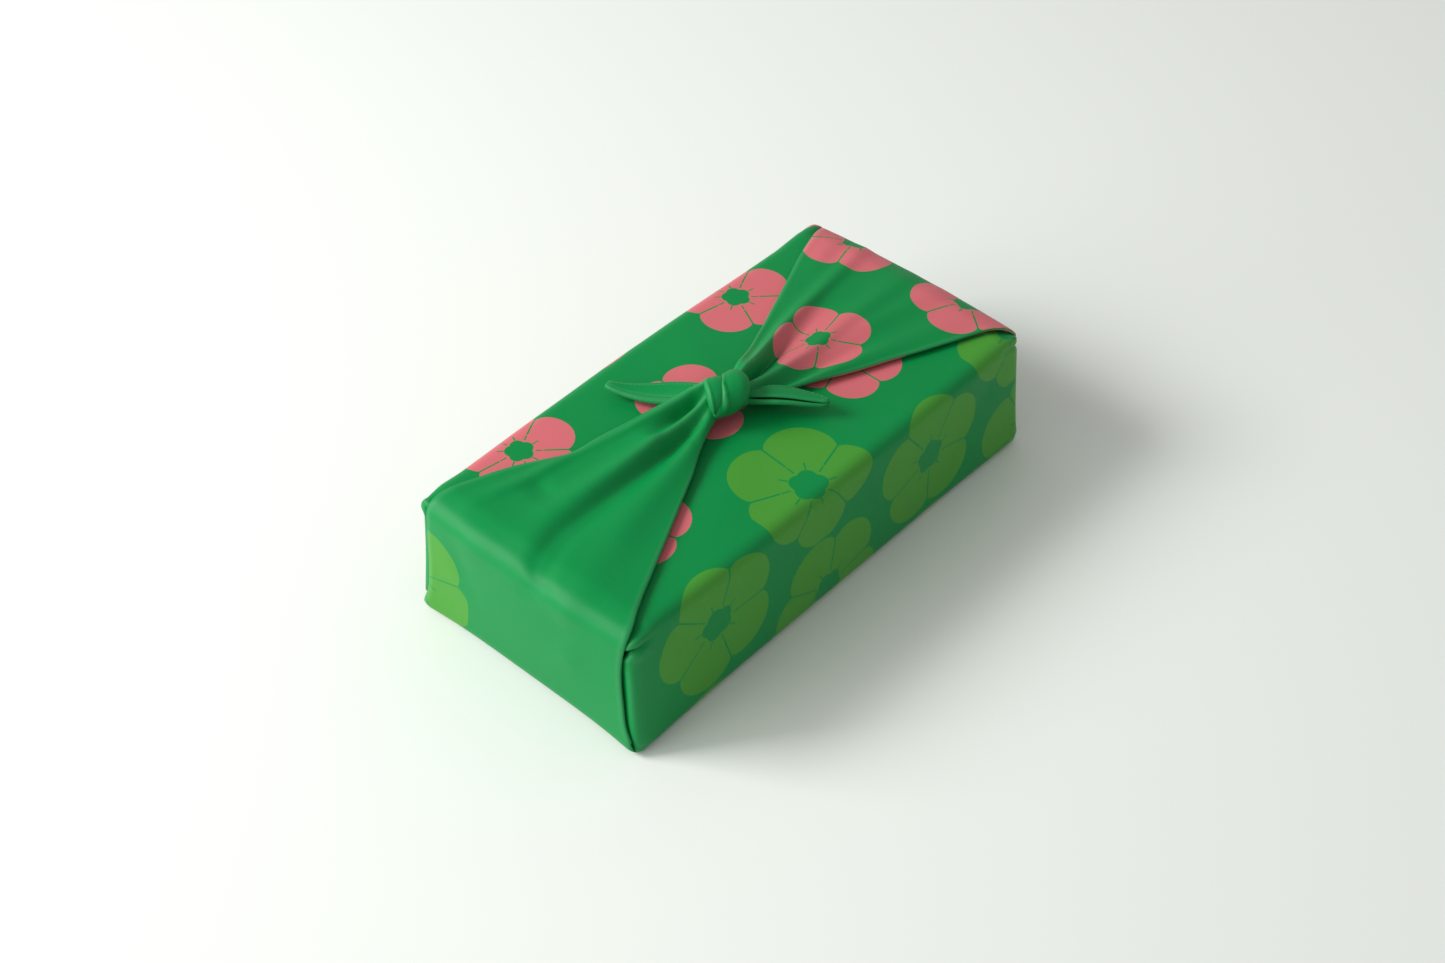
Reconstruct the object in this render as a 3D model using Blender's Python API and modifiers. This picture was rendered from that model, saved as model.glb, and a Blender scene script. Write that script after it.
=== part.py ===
"""A furoshiki wrap: one square cloth folded round a gift-sized pack and tied on top.

The cloth lies on the diagonal. Its front corner goes up the front, over the top, down the back and
is turned in there. Its back corner goes round the other way, under the first. The left and right
corners come up over the short sides as flaps, are gathered and tied in a square knot on the top.

X runs along the pack between the tied ends, Y from front to back, Z up. The origin is the middle
of the bottom face. All sizes are in metres. The pack that the cloth once held isn't modelled.
"""

from collections import namedtuple
from math import cos, exp, pi, radians, sin, sqrt, tan

import bmesh
import bpy
from mathutils import Matrix, Vector

# Driving sizes
PACK_LENGTH = 0.290
PACK_DEPTH = 0.140
PACK_HEIGHT = 0.075
CLOTH_SIDE = 0.680
CLOTH_THICKNESS = 0.0010
EDGE_RADIUS = 0.009
BULGE = 0.0012

# How far the middle of each layer of cloth lies inside the pack's outer faces
LAYER_STEP = 0.0015
OUTER_DEPTH = CLOTH_THICKNESS / 2
TURN_IN_DEPTH = OUTER_DEPTH + LAYER_STEP
INNER_DEPTH = OUTER_DEPTH + 2 * LAYER_STEP
UNDER_FLAP_STEP = 2 * LAYER_STEP

# The turned-in hem on the back, and the ears that fold round the short sides
HEM_HEIGHT = 0.011
HIDDEN_CORNER = 0.0165
EAR_STEPS = (0.018, 0.030)
EAR_SPREAD = 1.7
TOP_TURN_IN = 0.060
BOTTOM_TURN_IN = 0.115

# The two tied flaps: their outlines, and how far each one's neck lies off the middle line
FLAP_LIFT = 2 * LAYER_STEP
NECK_X = 0.016
NECK_HALF_WIDTH = 0.0115
GATHER_LENGTH = 0.019
KNOT_GATHER = 0.28
FLAP_EDGE_INSET = 0.0075
INSET_HEIGHT = 0.022
LEFT_NECK_SHIFT = 0.0065
RIGHT_NECK_SHIFT = 0.0015
SHIFT_START = 0.0247
SHIFT_END = 0.087

# How the flaps rise to the knot over the top face, and how deep their troughs may be
CREST_HEIGHT = 0.0120
CREST_FADE = 0.036
CREST_SHAPE = 0.8
EDGE_RISE = 0.0040
EDGE_FADE = 0.025
TOP_TROUGH = 0.0010
SIDE_TROUGH = 0.0003

# The strips turned in under the flaps' side edges: how many cells wide, and how much flatter
TURN_UNDER_CELLS = 5
UNDER_FOLD_LOSS = 0.25
UNDER_NARROWING = 0.0024
FLAP_TOP_ROWS = (0.125, 0.112, 0.099, 0.086, 0.073, 0.060, 0.048, 0.037, 0.027, 0.020, 0.014, 0.008)

# The knot: its middle from the middle of the top face, and its loops
KNOT_MIDDLE = (-0.003, -0.001)
KNOT_AXIS_HEIGHT = 0.0118
LOOP_HALF_DEPTH = 0.0081
LOOP_HALF_HEIGHT = 0.0075
LOOP_THICKNESS = 0.0074
LOOP_TURN = radians(-35)
LOOP_SECTIONS = 14
BAND_SIDES = 10

# The loose tails: where their sections lie along them, their bow and their thickness
TAIL_SHARES = (0.0, 0.12, 0.28, 0.46, 0.66, 0.84, 1.0)
TAIL_BOW = 0.0015
TAIL_ROOT_RISE = 0.004
TAIL_ROOT_THICKNESS = 0.005
TAIL_THICKNESS = 0.0038
TAIL_THINNING = 0.0014
TAIL_TIP_WIDTH = 0.0035

HALF_LENGTH = PACK_LENGTH / 2
HALF_DEPTH = PACK_DEPTH / 2
HALF_HEIGHT = PACK_HEIGHT / 2
HALF_DIAGONAL = CLOTH_SIDE / sqrt(2)

# Distances from a sharp edge at which the cloth's points lie on its rounded edge
ROUND_STEPS = (0.0, EDGE_RADIUS * (1 - tan(pi / 8)), EDGE_RADIUS)

# A stretch of the section: the face it lies on, where it starts and ends along that face, how deep
# it lies, its number of flat cells, and what it is
Run = namedtuple("Run", "face start end depth cells kind")

# A row of the strip: its place on the section, its depth, its distance along the cloth, what it is
Row = namedtuple("Row", "y z depth travel kind")

# A column of the strip: its place along the pack, and how far in over the short side
Column = namedtuple("Column", "x inset")

# A fold of a flap: from one point to another, as distances from the knot and from the middle line,
# with the width and the height of its soft ridge, or of its trough where the height is negative
Fold = namedtuple("Fold", "start_along start_across end_along end_across width height")

# A section of a band: its middle, the way its flat side faces, its width and its thickness
Section = namedtuple("Section", "centre facing width thickness")

# A place along the gathered cloth inside the knot: its middle, its width and its thickness
CorePlace = namedtuple("CorePlace", "x y height width thickness")

# A tied end: the middle and the width of its loop round the other end, and its loose tail
TiedEnd = namedtuple("TiedEnd", "loop_x loop_width root tip tail_width")

LEFT_FOLDS = (
    Fold(0.028, 0.003, 0.092, 0.001, 0.0065, -0.0042),
    Fold(0.092, 0.001, 0.150, -0.013, 0.0075, -0.0034),
    Fold(0.014, 0.014, 0.080, 0.034, 0.0060, 0.0026),
    Fold(0.080, 0.034, 0.130, 0.045, 0.0070, 0.0018),
    Fold(0.040, -0.012, 0.120, -0.030, 0.0120, 0.0022),
)
RIGHT_FOLDS = (
    Fold(0.016, 0.002, 0.094, 0.024, 0.0060, 0.0032),
    Fold(0.094, 0.024, 0.130, 0.032, 0.0080, 0.0012),
    Fold(0.020, -0.005, 0.120, -0.001, 0.0065, 0.0026),
    Fold(0.034, -0.011, 0.110, -0.030, 0.0060, 0.0022),
    Fold(0.024, 0.004, 0.110, 0.011, 0.0050, -0.0024),
)
KNOT_CORE = (
    CorePlace(-0.0136, 0.0000, 0.0100, 0.0080, 0.0050),
    CorePlace(-0.0086, 0.0000, 0.0116, 0.0165, 0.0154),
    CorePlace(0.0072, 0.0000, 0.0116, 0.0165, 0.0154),
    CorePlace(0.0140, 0.0000, 0.0100, 0.0080, 0.0050),
)
CORE_LEAN = 0.1
LEFT_END = TiedEnd(0.0046, 0.0160, (-0.009, 0.012, 0.0055), (-0.029, 0.056, 0.0045), 0.0150)
RIGHT_END = TiedEnd(0.0074, 0.0096, (-0.011, 0.009, 0.0055), (-0.034, 0.035, 0.0060), 0.0125)


def clear_scene():
    for old in list(bpy.data.objects):
        bpy.data.objects.remove(old)


def new_collection(name):
    collection = bpy.data.collections.new(name)
    bpy.context.scene.collection.children.link(collection)
    return collection


def cloth_material():
    """Smooth woven cloth in the green of the print's ground."""
    material = bpy.data.materials.new("green_cloth")
    material.use_nodes = True
    shader = material.node_tree.nodes["Principled BSDF"]
    shader.inputs["Base Color"].default_value = (0.018, 0.235, 0.072, 1.0)
    shader.inputs["Roughness"].default_value = 0.6
    shader.inputs["Metallic"].default_value = 0.0
    return material


def clamp(value, low, high):
    return max(low, min(high, value))


def smooth_step(low, high, value):
    share = clamp((value - low) / (high - low), 0.0, 1.0)
    return share * share * (3 - 2 * share)


def on_pack(x, y, z, depth):
    """The point of the pack's rounded shape under a point of its sharp-edged box, at that depth."""
    core = Vector((
        clamp(x, EDGE_RADIUS - HALF_LENGTH, HALF_LENGTH - EDGE_RADIUS),
        clamp(y, EDGE_RADIUS - HALF_DEPTH, HALF_DEPTH - EDGE_RADIUS),
        clamp(z, EDGE_RADIUS, PACK_HEIGHT - EDGE_RADIUS),
    ))
    outward = (Vector((x, y, z)) - core).normalized()
    return core + outward * (EDGE_RADIUS - depth)


def softened(point):
    """A point of the cloth on a soft pack, whose walls and top bulge a little and its bottom doesn't."""
    u = point.x / HALF_LENGTH
    v = point.y / HALF_DEPTH
    w = point.z / PACK_HEIGHT
    wall = BULGE * max(0.0, 4 * w * (1 - w))
    out_x = wall * u * max(0.0, 1 - v * v)
    out_y = wall * v * max(0.0, 1 - u * u)
    up = BULGE * smooth_step(0.2, 1.0, w) * max(0.0, 1 - u * u) * max(0.0, 1 - v * v)
    return point + Vector((out_x, out_y, up))


def stations(start, end, cells, round_start=True, round_end=True):
    """Places from start to end, close together at each rounded edge and even between."""
    step = 1 if end > start else -1
    first = [start + step * s for s in ROUND_STEPS] if round_start else [start]
    last = [end - step * s for s in reversed(ROUND_STEPS)] if round_end else [end]
    gap = last[0] - first[-1]
    middle = [first[-1] + gap * i / cells for i in range(1, cells)]
    return first + middle + last


def face_point(face, along):
    return {
        "bottom": (along, 0.0),
        "top": (along, PACK_HEIGHT),
        "front": (-HALF_DEPTH, along),
        "back": (HALF_DEPTH, along),
    }[face]


def section_rows():
    """The strip's section, from the tip turned in at the back to the tip that lies on the inside."""
    runs = (
        Run("top", HALF_DEPTH - TOP_TURN_IN, HALF_DEPTH, TURN_IN_DEPTH, 3, "hidden"),
        Run("back", PACK_HEIGHT, HEM_HEIGHT, TURN_IN_DEPTH, 2, "hidden"),
        Run("back", HEM_HEIGHT, PACK_HEIGHT, OUTER_DEPTH, 3, "outer"),
        Run("top", HALF_DEPTH, -HALF_DEPTH, OUTER_DEPTH, 6, "outer"),
        Run("front", PACK_HEIGHT, 0.0, OUTER_DEPTH, 3, "outer"),
        Run("bottom", -HALF_DEPTH, HALF_DEPTH, OUTER_DEPTH, 10, "bottom"),
        Run("back", 0.0, PACK_HEIGHT, INNER_DEPTH, 2, "inner"),
        Run("top", HALF_DEPTH, -HALF_DEPTH, INNER_DEPTH, 4, "hidden"),
        Run("front", PACK_HEIGHT, 0.0, INNER_DEPTH, 2, "hidden"),
        Run("bottom", -HALF_DEPTH, BOTTOM_TURN_IN - HALF_DEPTH, INNER_DEPTH, 4, "hidden"),
    )
    rows = []
    travel = 0.0
    for index, run in enumerate(runs):
        at_hem = run.start == HEM_HEIGHT
        open_end = run.end == HEM_HEIGHT or index == len(runs) - 1
        open_start = at_hem or index == 0
        places = stations(run.start, run.end, run.cells, not open_start, not open_end)
        if at_hem:
            rows += hem_turn(travel)
            places = places[1:]
        elif rows:
            places = places[1:]
        before = run.start
        for along in places:
            travel += abs(along - before)
            before = along
            y, z = face_point(run.face, along)
            depth = run.depth
            if run.kind == "inner":
                depth = OUTER_DEPTH + (run.depth - OUTER_DEPTH) * smooth_step(0, EDGE_RADIUS, z)
            at_top = z > PACK_HEIGHT - EDGE_RADIUS - 1e-6
            kind = "hidden" if run.kind == "inner" and at_top else run.kind
            rows.append(Row(y, z, depth, travel, kind))
    low_edges = [row for row in rows if row.z == 0.0 and abs(row.y) == HALF_DEPTH]
    outer_edges = [row.travel for row in low_edges if row.depth == OUTER_DEPTH]
    middle = sum(outer_edges) / 2
    return [row._replace(travel=abs(row.travel - middle)) for row in rows]


def hem_turn(travel):
    """The half round by which the turned-in cloth comes out again as the outer layer, at the hem."""
    radius = (TURN_IN_DEPTH - OUTER_DEPTH) / 2
    middle = OUTER_DEPTH + radius
    rows = []
    for angle in (45, 90, 135, 180):
        depth = middle + radius * cos(radians(angle))
        height = HEM_HEIGHT - radius * sin(radians(angle))
        rows.append(Row(HALF_DEPTH, height, depth, travel, "outer" if angle == 180 else "hidden"))
    return rows


def strip_columns():
    """The strip's columns: the ears' places on the left, the length of the pack, the right ears."""
    flat = HALF_LENGTH - EDGE_RADIUS
    inner = HALF_LENGTH - HIDDEN_CORNER
    cells = 6
    middle = [inner * (2 * i / cells - 1) for i in range(cells + 1)]
    side = [Column(flat, 0.0)]
    side += [Column(HALF_LENGTH - s, 0.0) for s in reversed(ROUND_STEPS[:2])]
    side += [Column(HALF_LENGTH, inset) for inset in ROUND_STEPS[1:] + EAR_STEPS]
    left = [Column(-column.x, column.inset) for column in reversed(side)]
    return left + [Column(x, 0.0) for x in middle] + side


def strip_point(row, column):
    """Where one point of the strip lies."""
    spread = 1 + (EAR_SPREAD - 1) * smooth_step(0, EAR_STEPS[0], column.inset)
    shrink_y = 1 - column.inset * spread / HALF_DEPTH
    shrink_z = 1 - column.inset / HALF_HEIGHT
    near_end = smooth_step(HALF_LENGTH - HIDDEN_CORNER, HALF_LENGTH - ROUND_STEPS[1], abs(column.x))
    off_floor = smooth_step(0, ROUND_STEPS[1], row.z)
    narrowing = min(1.0, (HALF_DIAGONAL - row.travel) / (HALF_LENGTH - HIDDEN_CORNER))
    x = column.x * (narrowing if row.kind == "hidden" else 1.0)
    z = HALF_HEIGHT + (row.z - HALF_HEIGHT) * shrink_z
    return on_pack(x, row.y * shrink_y, z, row.depth + UNDER_FLAP_STEP * near_end * off_floor)


def strip_has_cell(lower, upper, left, right):
    """Whether the strip has cloth between two rows and two columns."""
    reach = max(abs(left.x), abs(right.x))
    kinds = {lower.kind, upper.kind}
    if "hidden" in kinds:
        return reach < HALF_LENGTH - HIDDEN_CORNER + 1e-6
    if "inner" in kinds and max(left.inset, right.inset) > 0:
        return False
    if max(lower.z, upper.z) == 0.0:
        return reach < HALF_LENGTH - EDGE_RADIUS + 1e-6
    on_ear = max(left.inset, right.inset) > 0
    return not on_ear or min(lower.z, upper.z) > EDGE_RADIUS - 1e-6


def add_strip(mesh):
    rows = section_rows()
    columns = strip_columns()
    grid = [[mesh.verts.new(strip_point(row, column)) for column in columns] for row in rows]
    for i in range(len(rows) - 1):
        for j in range(len(columns) - 1):
            if strip_has_cell(rows[i], rows[i + 1], columns[j], columns[j + 1]):
                mesh.faces.new((grid[i][j], grid[i][j + 1], grid[i + 1][j + 1], grid[i + 1][j]))


def fold_height(folds, along, across):
    """How far a flap stands proud at one place, from all its folds."""
    height = 0.0
    for fold in folds:
        run = Vector((fold.end_along - fold.start_along, fold.end_across - fold.start_across))
        offset = Vector((along - fold.start_along, across - fold.start_across))
        share = clamp(offset.dot(run) / run.length_squared, 0.0, 1.0)
        away = (offset - run * share).length / fold.width
        height += fold.height * exp(-away * away)
    return height


def flap_half_width(along):
    """Half the width of a flap on the top; inside the knot it's gathered closer still."""
    share = clamp((along - NECK_X) / (HALF_LENGTH - EDGE_RADIUS - NECK_X), 0.0, 1.0)
    widest = HALF_DEPTH - FLAP_EDGE_INSET
    gathered = 1 - KNOT_GATHER * (1 - smooth_step(FLAP_TOP_ROWS[-1], GATHER_LENGTH, along))
    return gathered * (NECK_HALF_WIDTH + (widest - NECK_HALF_WIDTH) * share)


def flap_middle(along, shift):
    """How far to one side the middle of a flap runs: most at its neck, none inside the knot."""
    inside = smooth_step(0, SHIFT_START, along)
    return shift * inside * (1 - smooth_step(GATHER_LENGTH, SHIFT_END, along))


def flap_side_point(side, place, x, z, folds):
    """A point of a flap under the pack, on its short side or at the short side's rounded edges."""
    share, under = place
    inset = FLAP_EDGE_INSET * (1 - max(0.0, 1 - z / INSET_HEIGHT)**2)
    across = share * (HALF_DEPTH - inset)
    along = HALF_LENGTH + PACK_HEIGHT - z if x == HALF_LENGTH else x
    raised = fold_height(folds, along, across) * smooth_step(0, PACK_HEIGHT * 0.5, z)
    lift = max(raised, -SIDE_TROUGH) * (1 - under * UNDER_FOLD_LOSS) - under * LAYER_STEP
    if z > HALF_HEIGHT:
        lift += FLAP_LIFT * smooth_step(HALF_LENGTH, HALF_LENGTH - HIDDEN_CORNER, x)
    return on_pack(side * x, across, z, OUTER_DEPTH - lift)


def flap_top_point(side, place, x, shift, folds):
    """A point of a flap over the pack's top, where it narrows and rises to the knot."""
    share, under = place
    narrower = UNDER_NARROWING * under**2 * exp(-x / CREST_FADE)
    across = flap_middle(x, shift) + share * (flap_half_width(x) - narrower)
    inner = max(0.0, 1 - share * share)
    crest = CREST_HEIGHT * exp(-x / CREST_FADE) * inner**CREST_SHAPE
    edge = EDGE_RISE * exp(-x / EDGE_FADE)
    lift = FLAP_LIFT * smooth_step(HALF_LENGTH, HALF_LENGTH - HIDDEN_CORNER, x) - under * LAYER_STEP
    raised = fold_height(folds, x, across) * (1 - (1 - inner)**2)
    to_knot = 1 - smooth_step(0, HALF_LENGTH * 0.7, x)
    rise = max(crest + edge + raised, -TOP_TROUGH) * (1 - under * UNDER_FOLD_LOSS) + lift
    knot_x, knot_y = KNOT_MIDDLE
    height = PACK_HEIGHT - OUTER_DEPTH + rise
    return Vector((side * x + knot_x * to_knot, across + knot_y * to_knot, height))


def flap_shares(half_width, turned):
    """Places across a flap, as shares of its half width with how far under they lie.

    A turned-in flap starts and ends with the strips under it, each with its half round.
    """
    outer = [y / HALF_DEPTH for y in stations(-HALF_DEPTH, HALF_DEPTH, 10)]
    places = [(share, 0.0) for share in outer]
    if not turned:
        return places
    half_round = 1 + LAYER_STEP / 2 / half_width
    first = [(share, 1.0) for share in reversed(outer[:TURN_UNDER_CELLS + 1])] + [(-half_round, 0.5)]
    last = [(-share, under) for share, under in reversed(first)]
    return first + places + last


def add_flap(mesh, side, shift, folds):
    """A flap from the bottom's end edge, up the short side and over the top into the knot."""
    edge = [HALF_LENGTH - s for s in ROUND_STEPS]
    lines = []
    for x in reversed(edge):
        places = flap_shares(HALF_DEPTH, False)
        lines.append([on_pack(side * x, share * HALF_DEPTH, 0.0, OUTER_DEPTH) for share, _ in places])
    for z in stations(0.0, PACK_HEIGHT, 4)[1:]:
        places = flap_shares(HALF_DEPTH - FLAP_EDGE_INSET, z > EDGE_RADIUS - 1e-6)
        lines.append([flap_side_point(side, place, HALF_LENGTH, z, folds) for place in places])
    for x in edge[1:]:
        places = flap_shares(HALF_DEPTH - FLAP_EDGE_INSET, True)
        lines.append([flap_side_point(side, place, x, PACK_HEIGHT, folds) for place in places])
    for x in FLAP_TOP_ROWS:
        places = flap_shares(flap_half_width(x), True)
        lines.append([flap_top_point(side, place, x, shift, folds) for place in places])
    grid = [[mesh.verts.new(point) for point in line] for line in lines]
    for line, following in zip(grid, grid[1:]):
        spare = abs(len(line) - len(following)) // 2
        lower = line if len(line) <= len(following) else line[spare:-spare]
        upper = following if len(following) <= len(line) else following[spare:-spare]
        for j in range(len(lower) - 1):
            corners = (lower[j], upper[j], upper[j + 1], lower[j + 1])
            mesh.faces.new(corners if side < 0 else tuple(reversed(corners)))


def folded_sheet(collection, material):
    """The cloth but for its knot: an open surface of all its layers, given its thickness."""
    mesh = bmesh.new()
    add_strip(mesh)
    add_flap(mesh, -1, LEFT_NECK_SHIFT, LEFT_FOLDS)
    add_flap(mesh, 1, RIGHT_NECK_SHIFT, RIGHT_FOLDS)
    bmesh.ops.remove_doubles(mesh, verts=mesh.verts, dist=1e-6)
    for vertex in mesh.verts:
        vertex.co = softened(vertex.co)
    loose = [vertex for vertex in mesh.verts if not vertex.link_faces]
    bmesh.ops.delete(mesh, geom=loose, context="VERTS")
    bmesh.ops.recalc_face_normals(mesh, faces=mesh.faces)
    data = bpy.data.meshes.new("furoshiki_cloth")
    mesh.to_mesh(data)
    mesh.free()
    data.materials.append(material)
    sheet = bpy.data.objects.new("furoshiki_cloth", data)
    collection.objects.link(sheet)
    thickness = sheet.modifiers.new("cloth_thickness", "SOLIDIFY")
    thickness.thickness = CLOTH_THICKNESS
    thickness.offset = 0.0
    thickness.use_even_offset = True
    return sheet


def turned(section):
    """A section of the knot, turned with its loops, which lie aslant between the flaps."""
    turn = Matrix.Rotation(LOOP_TURN, 3, "Z")
    return section._replace(centre=turn @ section.centre, facing=turn @ section.facing)


def loop_sections(end):
    """The loop that a tied end makes round the other: a closed ring round the gathered core."""
    sections = []
    for i in range(LOOP_SECTIONS):
        angle = 2 * pi * (i + 0.3) / LOOP_SECTIONS
        facing = Vector((0.0, cos(angle), sin(angle)))
        height = KNOT_AXIS_HEIGHT + LOOP_HALF_HEIGHT * facing.z
        centre = Vector((end.loop_x, LOOP_HALF_DEPTH * facing.y, height))
        sections.append(turned(Section(centre, facing, end.loop_width, LOOP_THICKNESS)))
    return sections


def tail_sections(end):
    """The loose tail, folded double, from inside the knot to its tip."""
    root = Vector(end.root)
    tip = Vector(end.tip)
    down = Vector((0.0, 0.0, -1.0))
    inside = root / 2 - down * TAIL_ROOT_RISE
    sections = [Section(inside, down, end.tail_width / 2, TAIL_ROOT_THICKNESS)]
    for share in TAIL_SHARES:
        centre = root.lerp(tip, share) - down * TAIL_BOW * sin(pi * share)
        width = end.tail_width * sin(pi * (0.25 + 0.75 * share) ** 0.85)
        thickness = TAIL_THICKNESS - TAIL_THINNING * share
        sections.append(Section(centre, down, max(width, TAIL_TIP_WIDTH), thickness))
    return sections


def core_sections():
    """The gathered cloth inside the loops."""
    up = Vector((0.0, CORE_LEAN, 1.0)).normalized()
    sections = [Section(Vector((p.x, p.y, p.height)), up, p.width, p.thickness) for p in KNOT_CORE]
    return [turned(section) for section in sections]


def band(name, sections, closed, half_turn, collection):
    """A closed solid lofted through its sections, each an ellipse with its flat side facing out."""
    mesh = bmesh.new()
    rings = []
    count = len(sections)
    turn = -1 if half_turn else 1
    middle = Vector((*KNOT_MIDDLE, PACK_HEIGHT + BULGE))
    for i, section in enumerate(sections):
        before = sections[i - 1] if closed else sections[max(i - 1, 0)]
        after = sections[(i + 1) % count] if closed else sections[min(i + 1, count - 1)]
        along = (after.centre - before.centre).normalized()
        wide = along.cross(section.facing).normalized()
        flat = wide.cross(along)
        ring = []
        for k in range(BAND_SIDES):
            angle = 2 * pi * k / BAND_SIDES
            outward = wide * (cos(angle) * section.width) + flat * (sin(angle) * section.thickness)
            spot = section.centre + outward / 2
            ring.append(mesh.verts.new(Vector((spot.x * turn, spot.y * turn, spot.z)) + middle))
        rings.append(ring)
    following = rings[1:] + rings[:1] if closed else rings[1:]
    for ring, other in zip(rings, following):
        for k in range(BAND_SIDES):
            after = (k + 1) % BAND_SIDES
            mesh.faces.new((ring[k], ring[after], other[after], other[k]))
    if not closed:
        mesh.faces.new(reversed(rings[0]))
        mesh.faces.new(rings[-1])
    bmesh.ops.recalc_face_normals(mesh, faces=mesh.faces)
    data = bpy.data.meshes.new(name)
    mesh.to_mesh(data)
    mesh.free()
    piece = bpy.data.objects.new(name, data)
    collection.objects.link(piece)
    piece.hide_render = True
    piece.display_type = "WIRE"


def join_knot(sheet, bands):
    """One cloth: the knot's bands become part of the sheet's solid."""
    union = sheet.modifiers.new("knot", "BOOLEAN")
    union.operation = "UNION"
    union.solver = "EXACT"
    union.operand_type = "COLLECTION"
    union.collection = bands
    slivers = sheet.modifiers.new("slivers", "WELD")
    slivers.merge_threshold = 0.00006


def build():
    clear_scene()
    cloth = new_collection("furoshiki_wrap")
    bands = new_collection("knot_bands")
    sheet = folded_sheet(cloth, cloth_material())
    band("knot_core", core_sections(), False, False, bands)
    band("left_loop", loop_sections(LEFT_END), True, False, bands)
    band("right_loop", loop_sections(RIGHT_END), True, True, bands)
    band("left_tail", tail_sections(LEFT_END), False, False, bands)
    band("right_tail", tail_sections(RIGHT_END), False, True, bands)
    join_knot(sheet, bands)


build()
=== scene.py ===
"""Furoshiki wrap: one square printed cloth, folded round a gift pack and tied on its top.

The cloth lies on the diagonal. A long strip of it goes round the pack from front to back, and its
left and right corners come up the short sides as flaps, are gathered and are tied in a square knot.
X runs along the pack, Y from front to back, Z up; all sizes are in metres.
"""
import logging
from dataclasses import dataclass, field
from enum import Enum
from typing import Any

import bmesh
import bpy
import numpy as np
from mathutils import Matrix


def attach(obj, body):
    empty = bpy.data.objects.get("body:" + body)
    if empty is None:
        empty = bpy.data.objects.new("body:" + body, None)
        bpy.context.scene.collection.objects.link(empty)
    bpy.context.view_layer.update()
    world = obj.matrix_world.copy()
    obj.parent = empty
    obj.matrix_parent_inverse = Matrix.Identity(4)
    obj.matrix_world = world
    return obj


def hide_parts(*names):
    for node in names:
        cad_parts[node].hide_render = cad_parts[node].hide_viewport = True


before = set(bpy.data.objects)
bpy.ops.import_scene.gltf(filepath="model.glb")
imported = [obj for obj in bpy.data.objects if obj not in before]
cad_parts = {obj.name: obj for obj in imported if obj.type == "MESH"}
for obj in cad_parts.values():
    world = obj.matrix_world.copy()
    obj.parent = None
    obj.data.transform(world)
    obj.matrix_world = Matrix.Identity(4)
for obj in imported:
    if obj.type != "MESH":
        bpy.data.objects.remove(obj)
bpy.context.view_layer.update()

Array = np.ndarray
Inputs = dict[str | int, Any]
Place = tuple[float, float, float]
LOG = logging.getLogger("furoshiki_wrap")
MM = 0.001


class Side(Enum):
    """The two ends of the pack, each with its sign along X."""

    LEFT = -1
    RIGHT = 1


class Layer(Enum):
    """What a stretch of the strip is, which decides how wide it is."""

    OUTER = "outer"
    BOTTOM = "bottom"
    INNER = "inner"
    HIDDEN = "hidden"


def smooth_step(low: float, high: float, value: Array | float) -> Array:
    """Ease from 0 to 1.

    Args:
        low: The value at which the result is 0.
        high: The value at which the result is 1.
        value: The values to ease.

    Returns:
        The eased shares.
    """
    share = np.clip((np.asarray(value) - low) / (high - low), 0.0, 1.0)
    return share * share * (3 - 2 * share)


def soft_floor(value: Array, lowest: float, blend: float) -> Array:
    """Hold values above a floor without a kink.

    Args:
        value: The values to hold up.
        lowest: The floor.
        blend: How far round the floor the bend is spread.

    Returns:
        The held values.
    """
    gap = value - lowest
    return lowest + (gap + np.sqrt(gap * gap + blend * blend)) / 2


def spline(table: Array, at: Array) -> Array:
    """A smooth curve through the rows of a table.

    Args:
        table: Rows whose first column rises and whose other columns are the curve's values.
        at: Places on the first column's scale.

    Returns:
        The values there, one row for each place.
    """
    keys, values = table[:, 0], table[:, 1:]
    slopes = np.gradient(values, keys, axis=0)
    span = np.clip(np.searchsorted(keys, at) - 1, 0, len(keys) - 2)
    width = (keys[span + 1] - keys[span])[:, None]
    t = np.clip((at - keys[span])[:, None] / width, 0.0, 1.0)
    start, end = values[span], values[span + 1]
    rise_in, rise_out = slopes[span] * width, slopes[span + 1] * width
    return (
        (2 * t**3 - 3 * t**2 + 1) * start + (t**3 - 2 * t**2 + t) * rise_in
        + (3 * t**2 - 2 * t**3) * end + (t**3 - t**2) * rise_out
    )


# Shader maths


class Signal:
    """One output of a shader node; arithmetic on it adds Math nodes."""

    def __init__(self, graph: "ShaderGraph", socket: bpy.types.NodeSocket) -> None:
        """Keep the graph and the socket."""
        self.graph = graph
        self.socket = socket

    def __add__(self, other: Any) -> "Signal":
        """Sum."""
        return self.graph.math("ADD", self, other)

    __radd__ = __add__

    def __sub__(self, other: Any) -> "Signal":
        """Difference."""
        return self.graph.math("SUBTRACT", self, other)

    def __rsub__(self, other: Any) -> "Signal":
        """Difference from a plain number."""
        return self.graph.math("SUBTRACT", other, self)

    def __mul__(self, other: Any) -> "Signal":
        """Product."""
        return self.graph.math("MULTIPLY", self, other)

    __rmul__ = __mul__

    def __truediv__(self, other: Any) -> "Signal":
        """Quotient."""
        return self.graph.math("DIVIDE", self, other)

    def __pow__(self, other: Any) -> "Signal":
        """Power."""
        return self.graph.math("POWER", self, other)

    def __gt__(self, other: Any) -> "Signal":
        """1 where greater, otherwise 0."""
        return self.graph.math("GREATER_THAN", self, other)

    def __lt__(self, other: Any) -> "Signal":
        """1 where less, otherwise 0."""
        return self.graph.math("LESS_THAN", self, other)

    def __abs__(self) -> "Signal":
        """Size without its sign."""
        return self.graph.math("ABSOLUTE", self)


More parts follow.
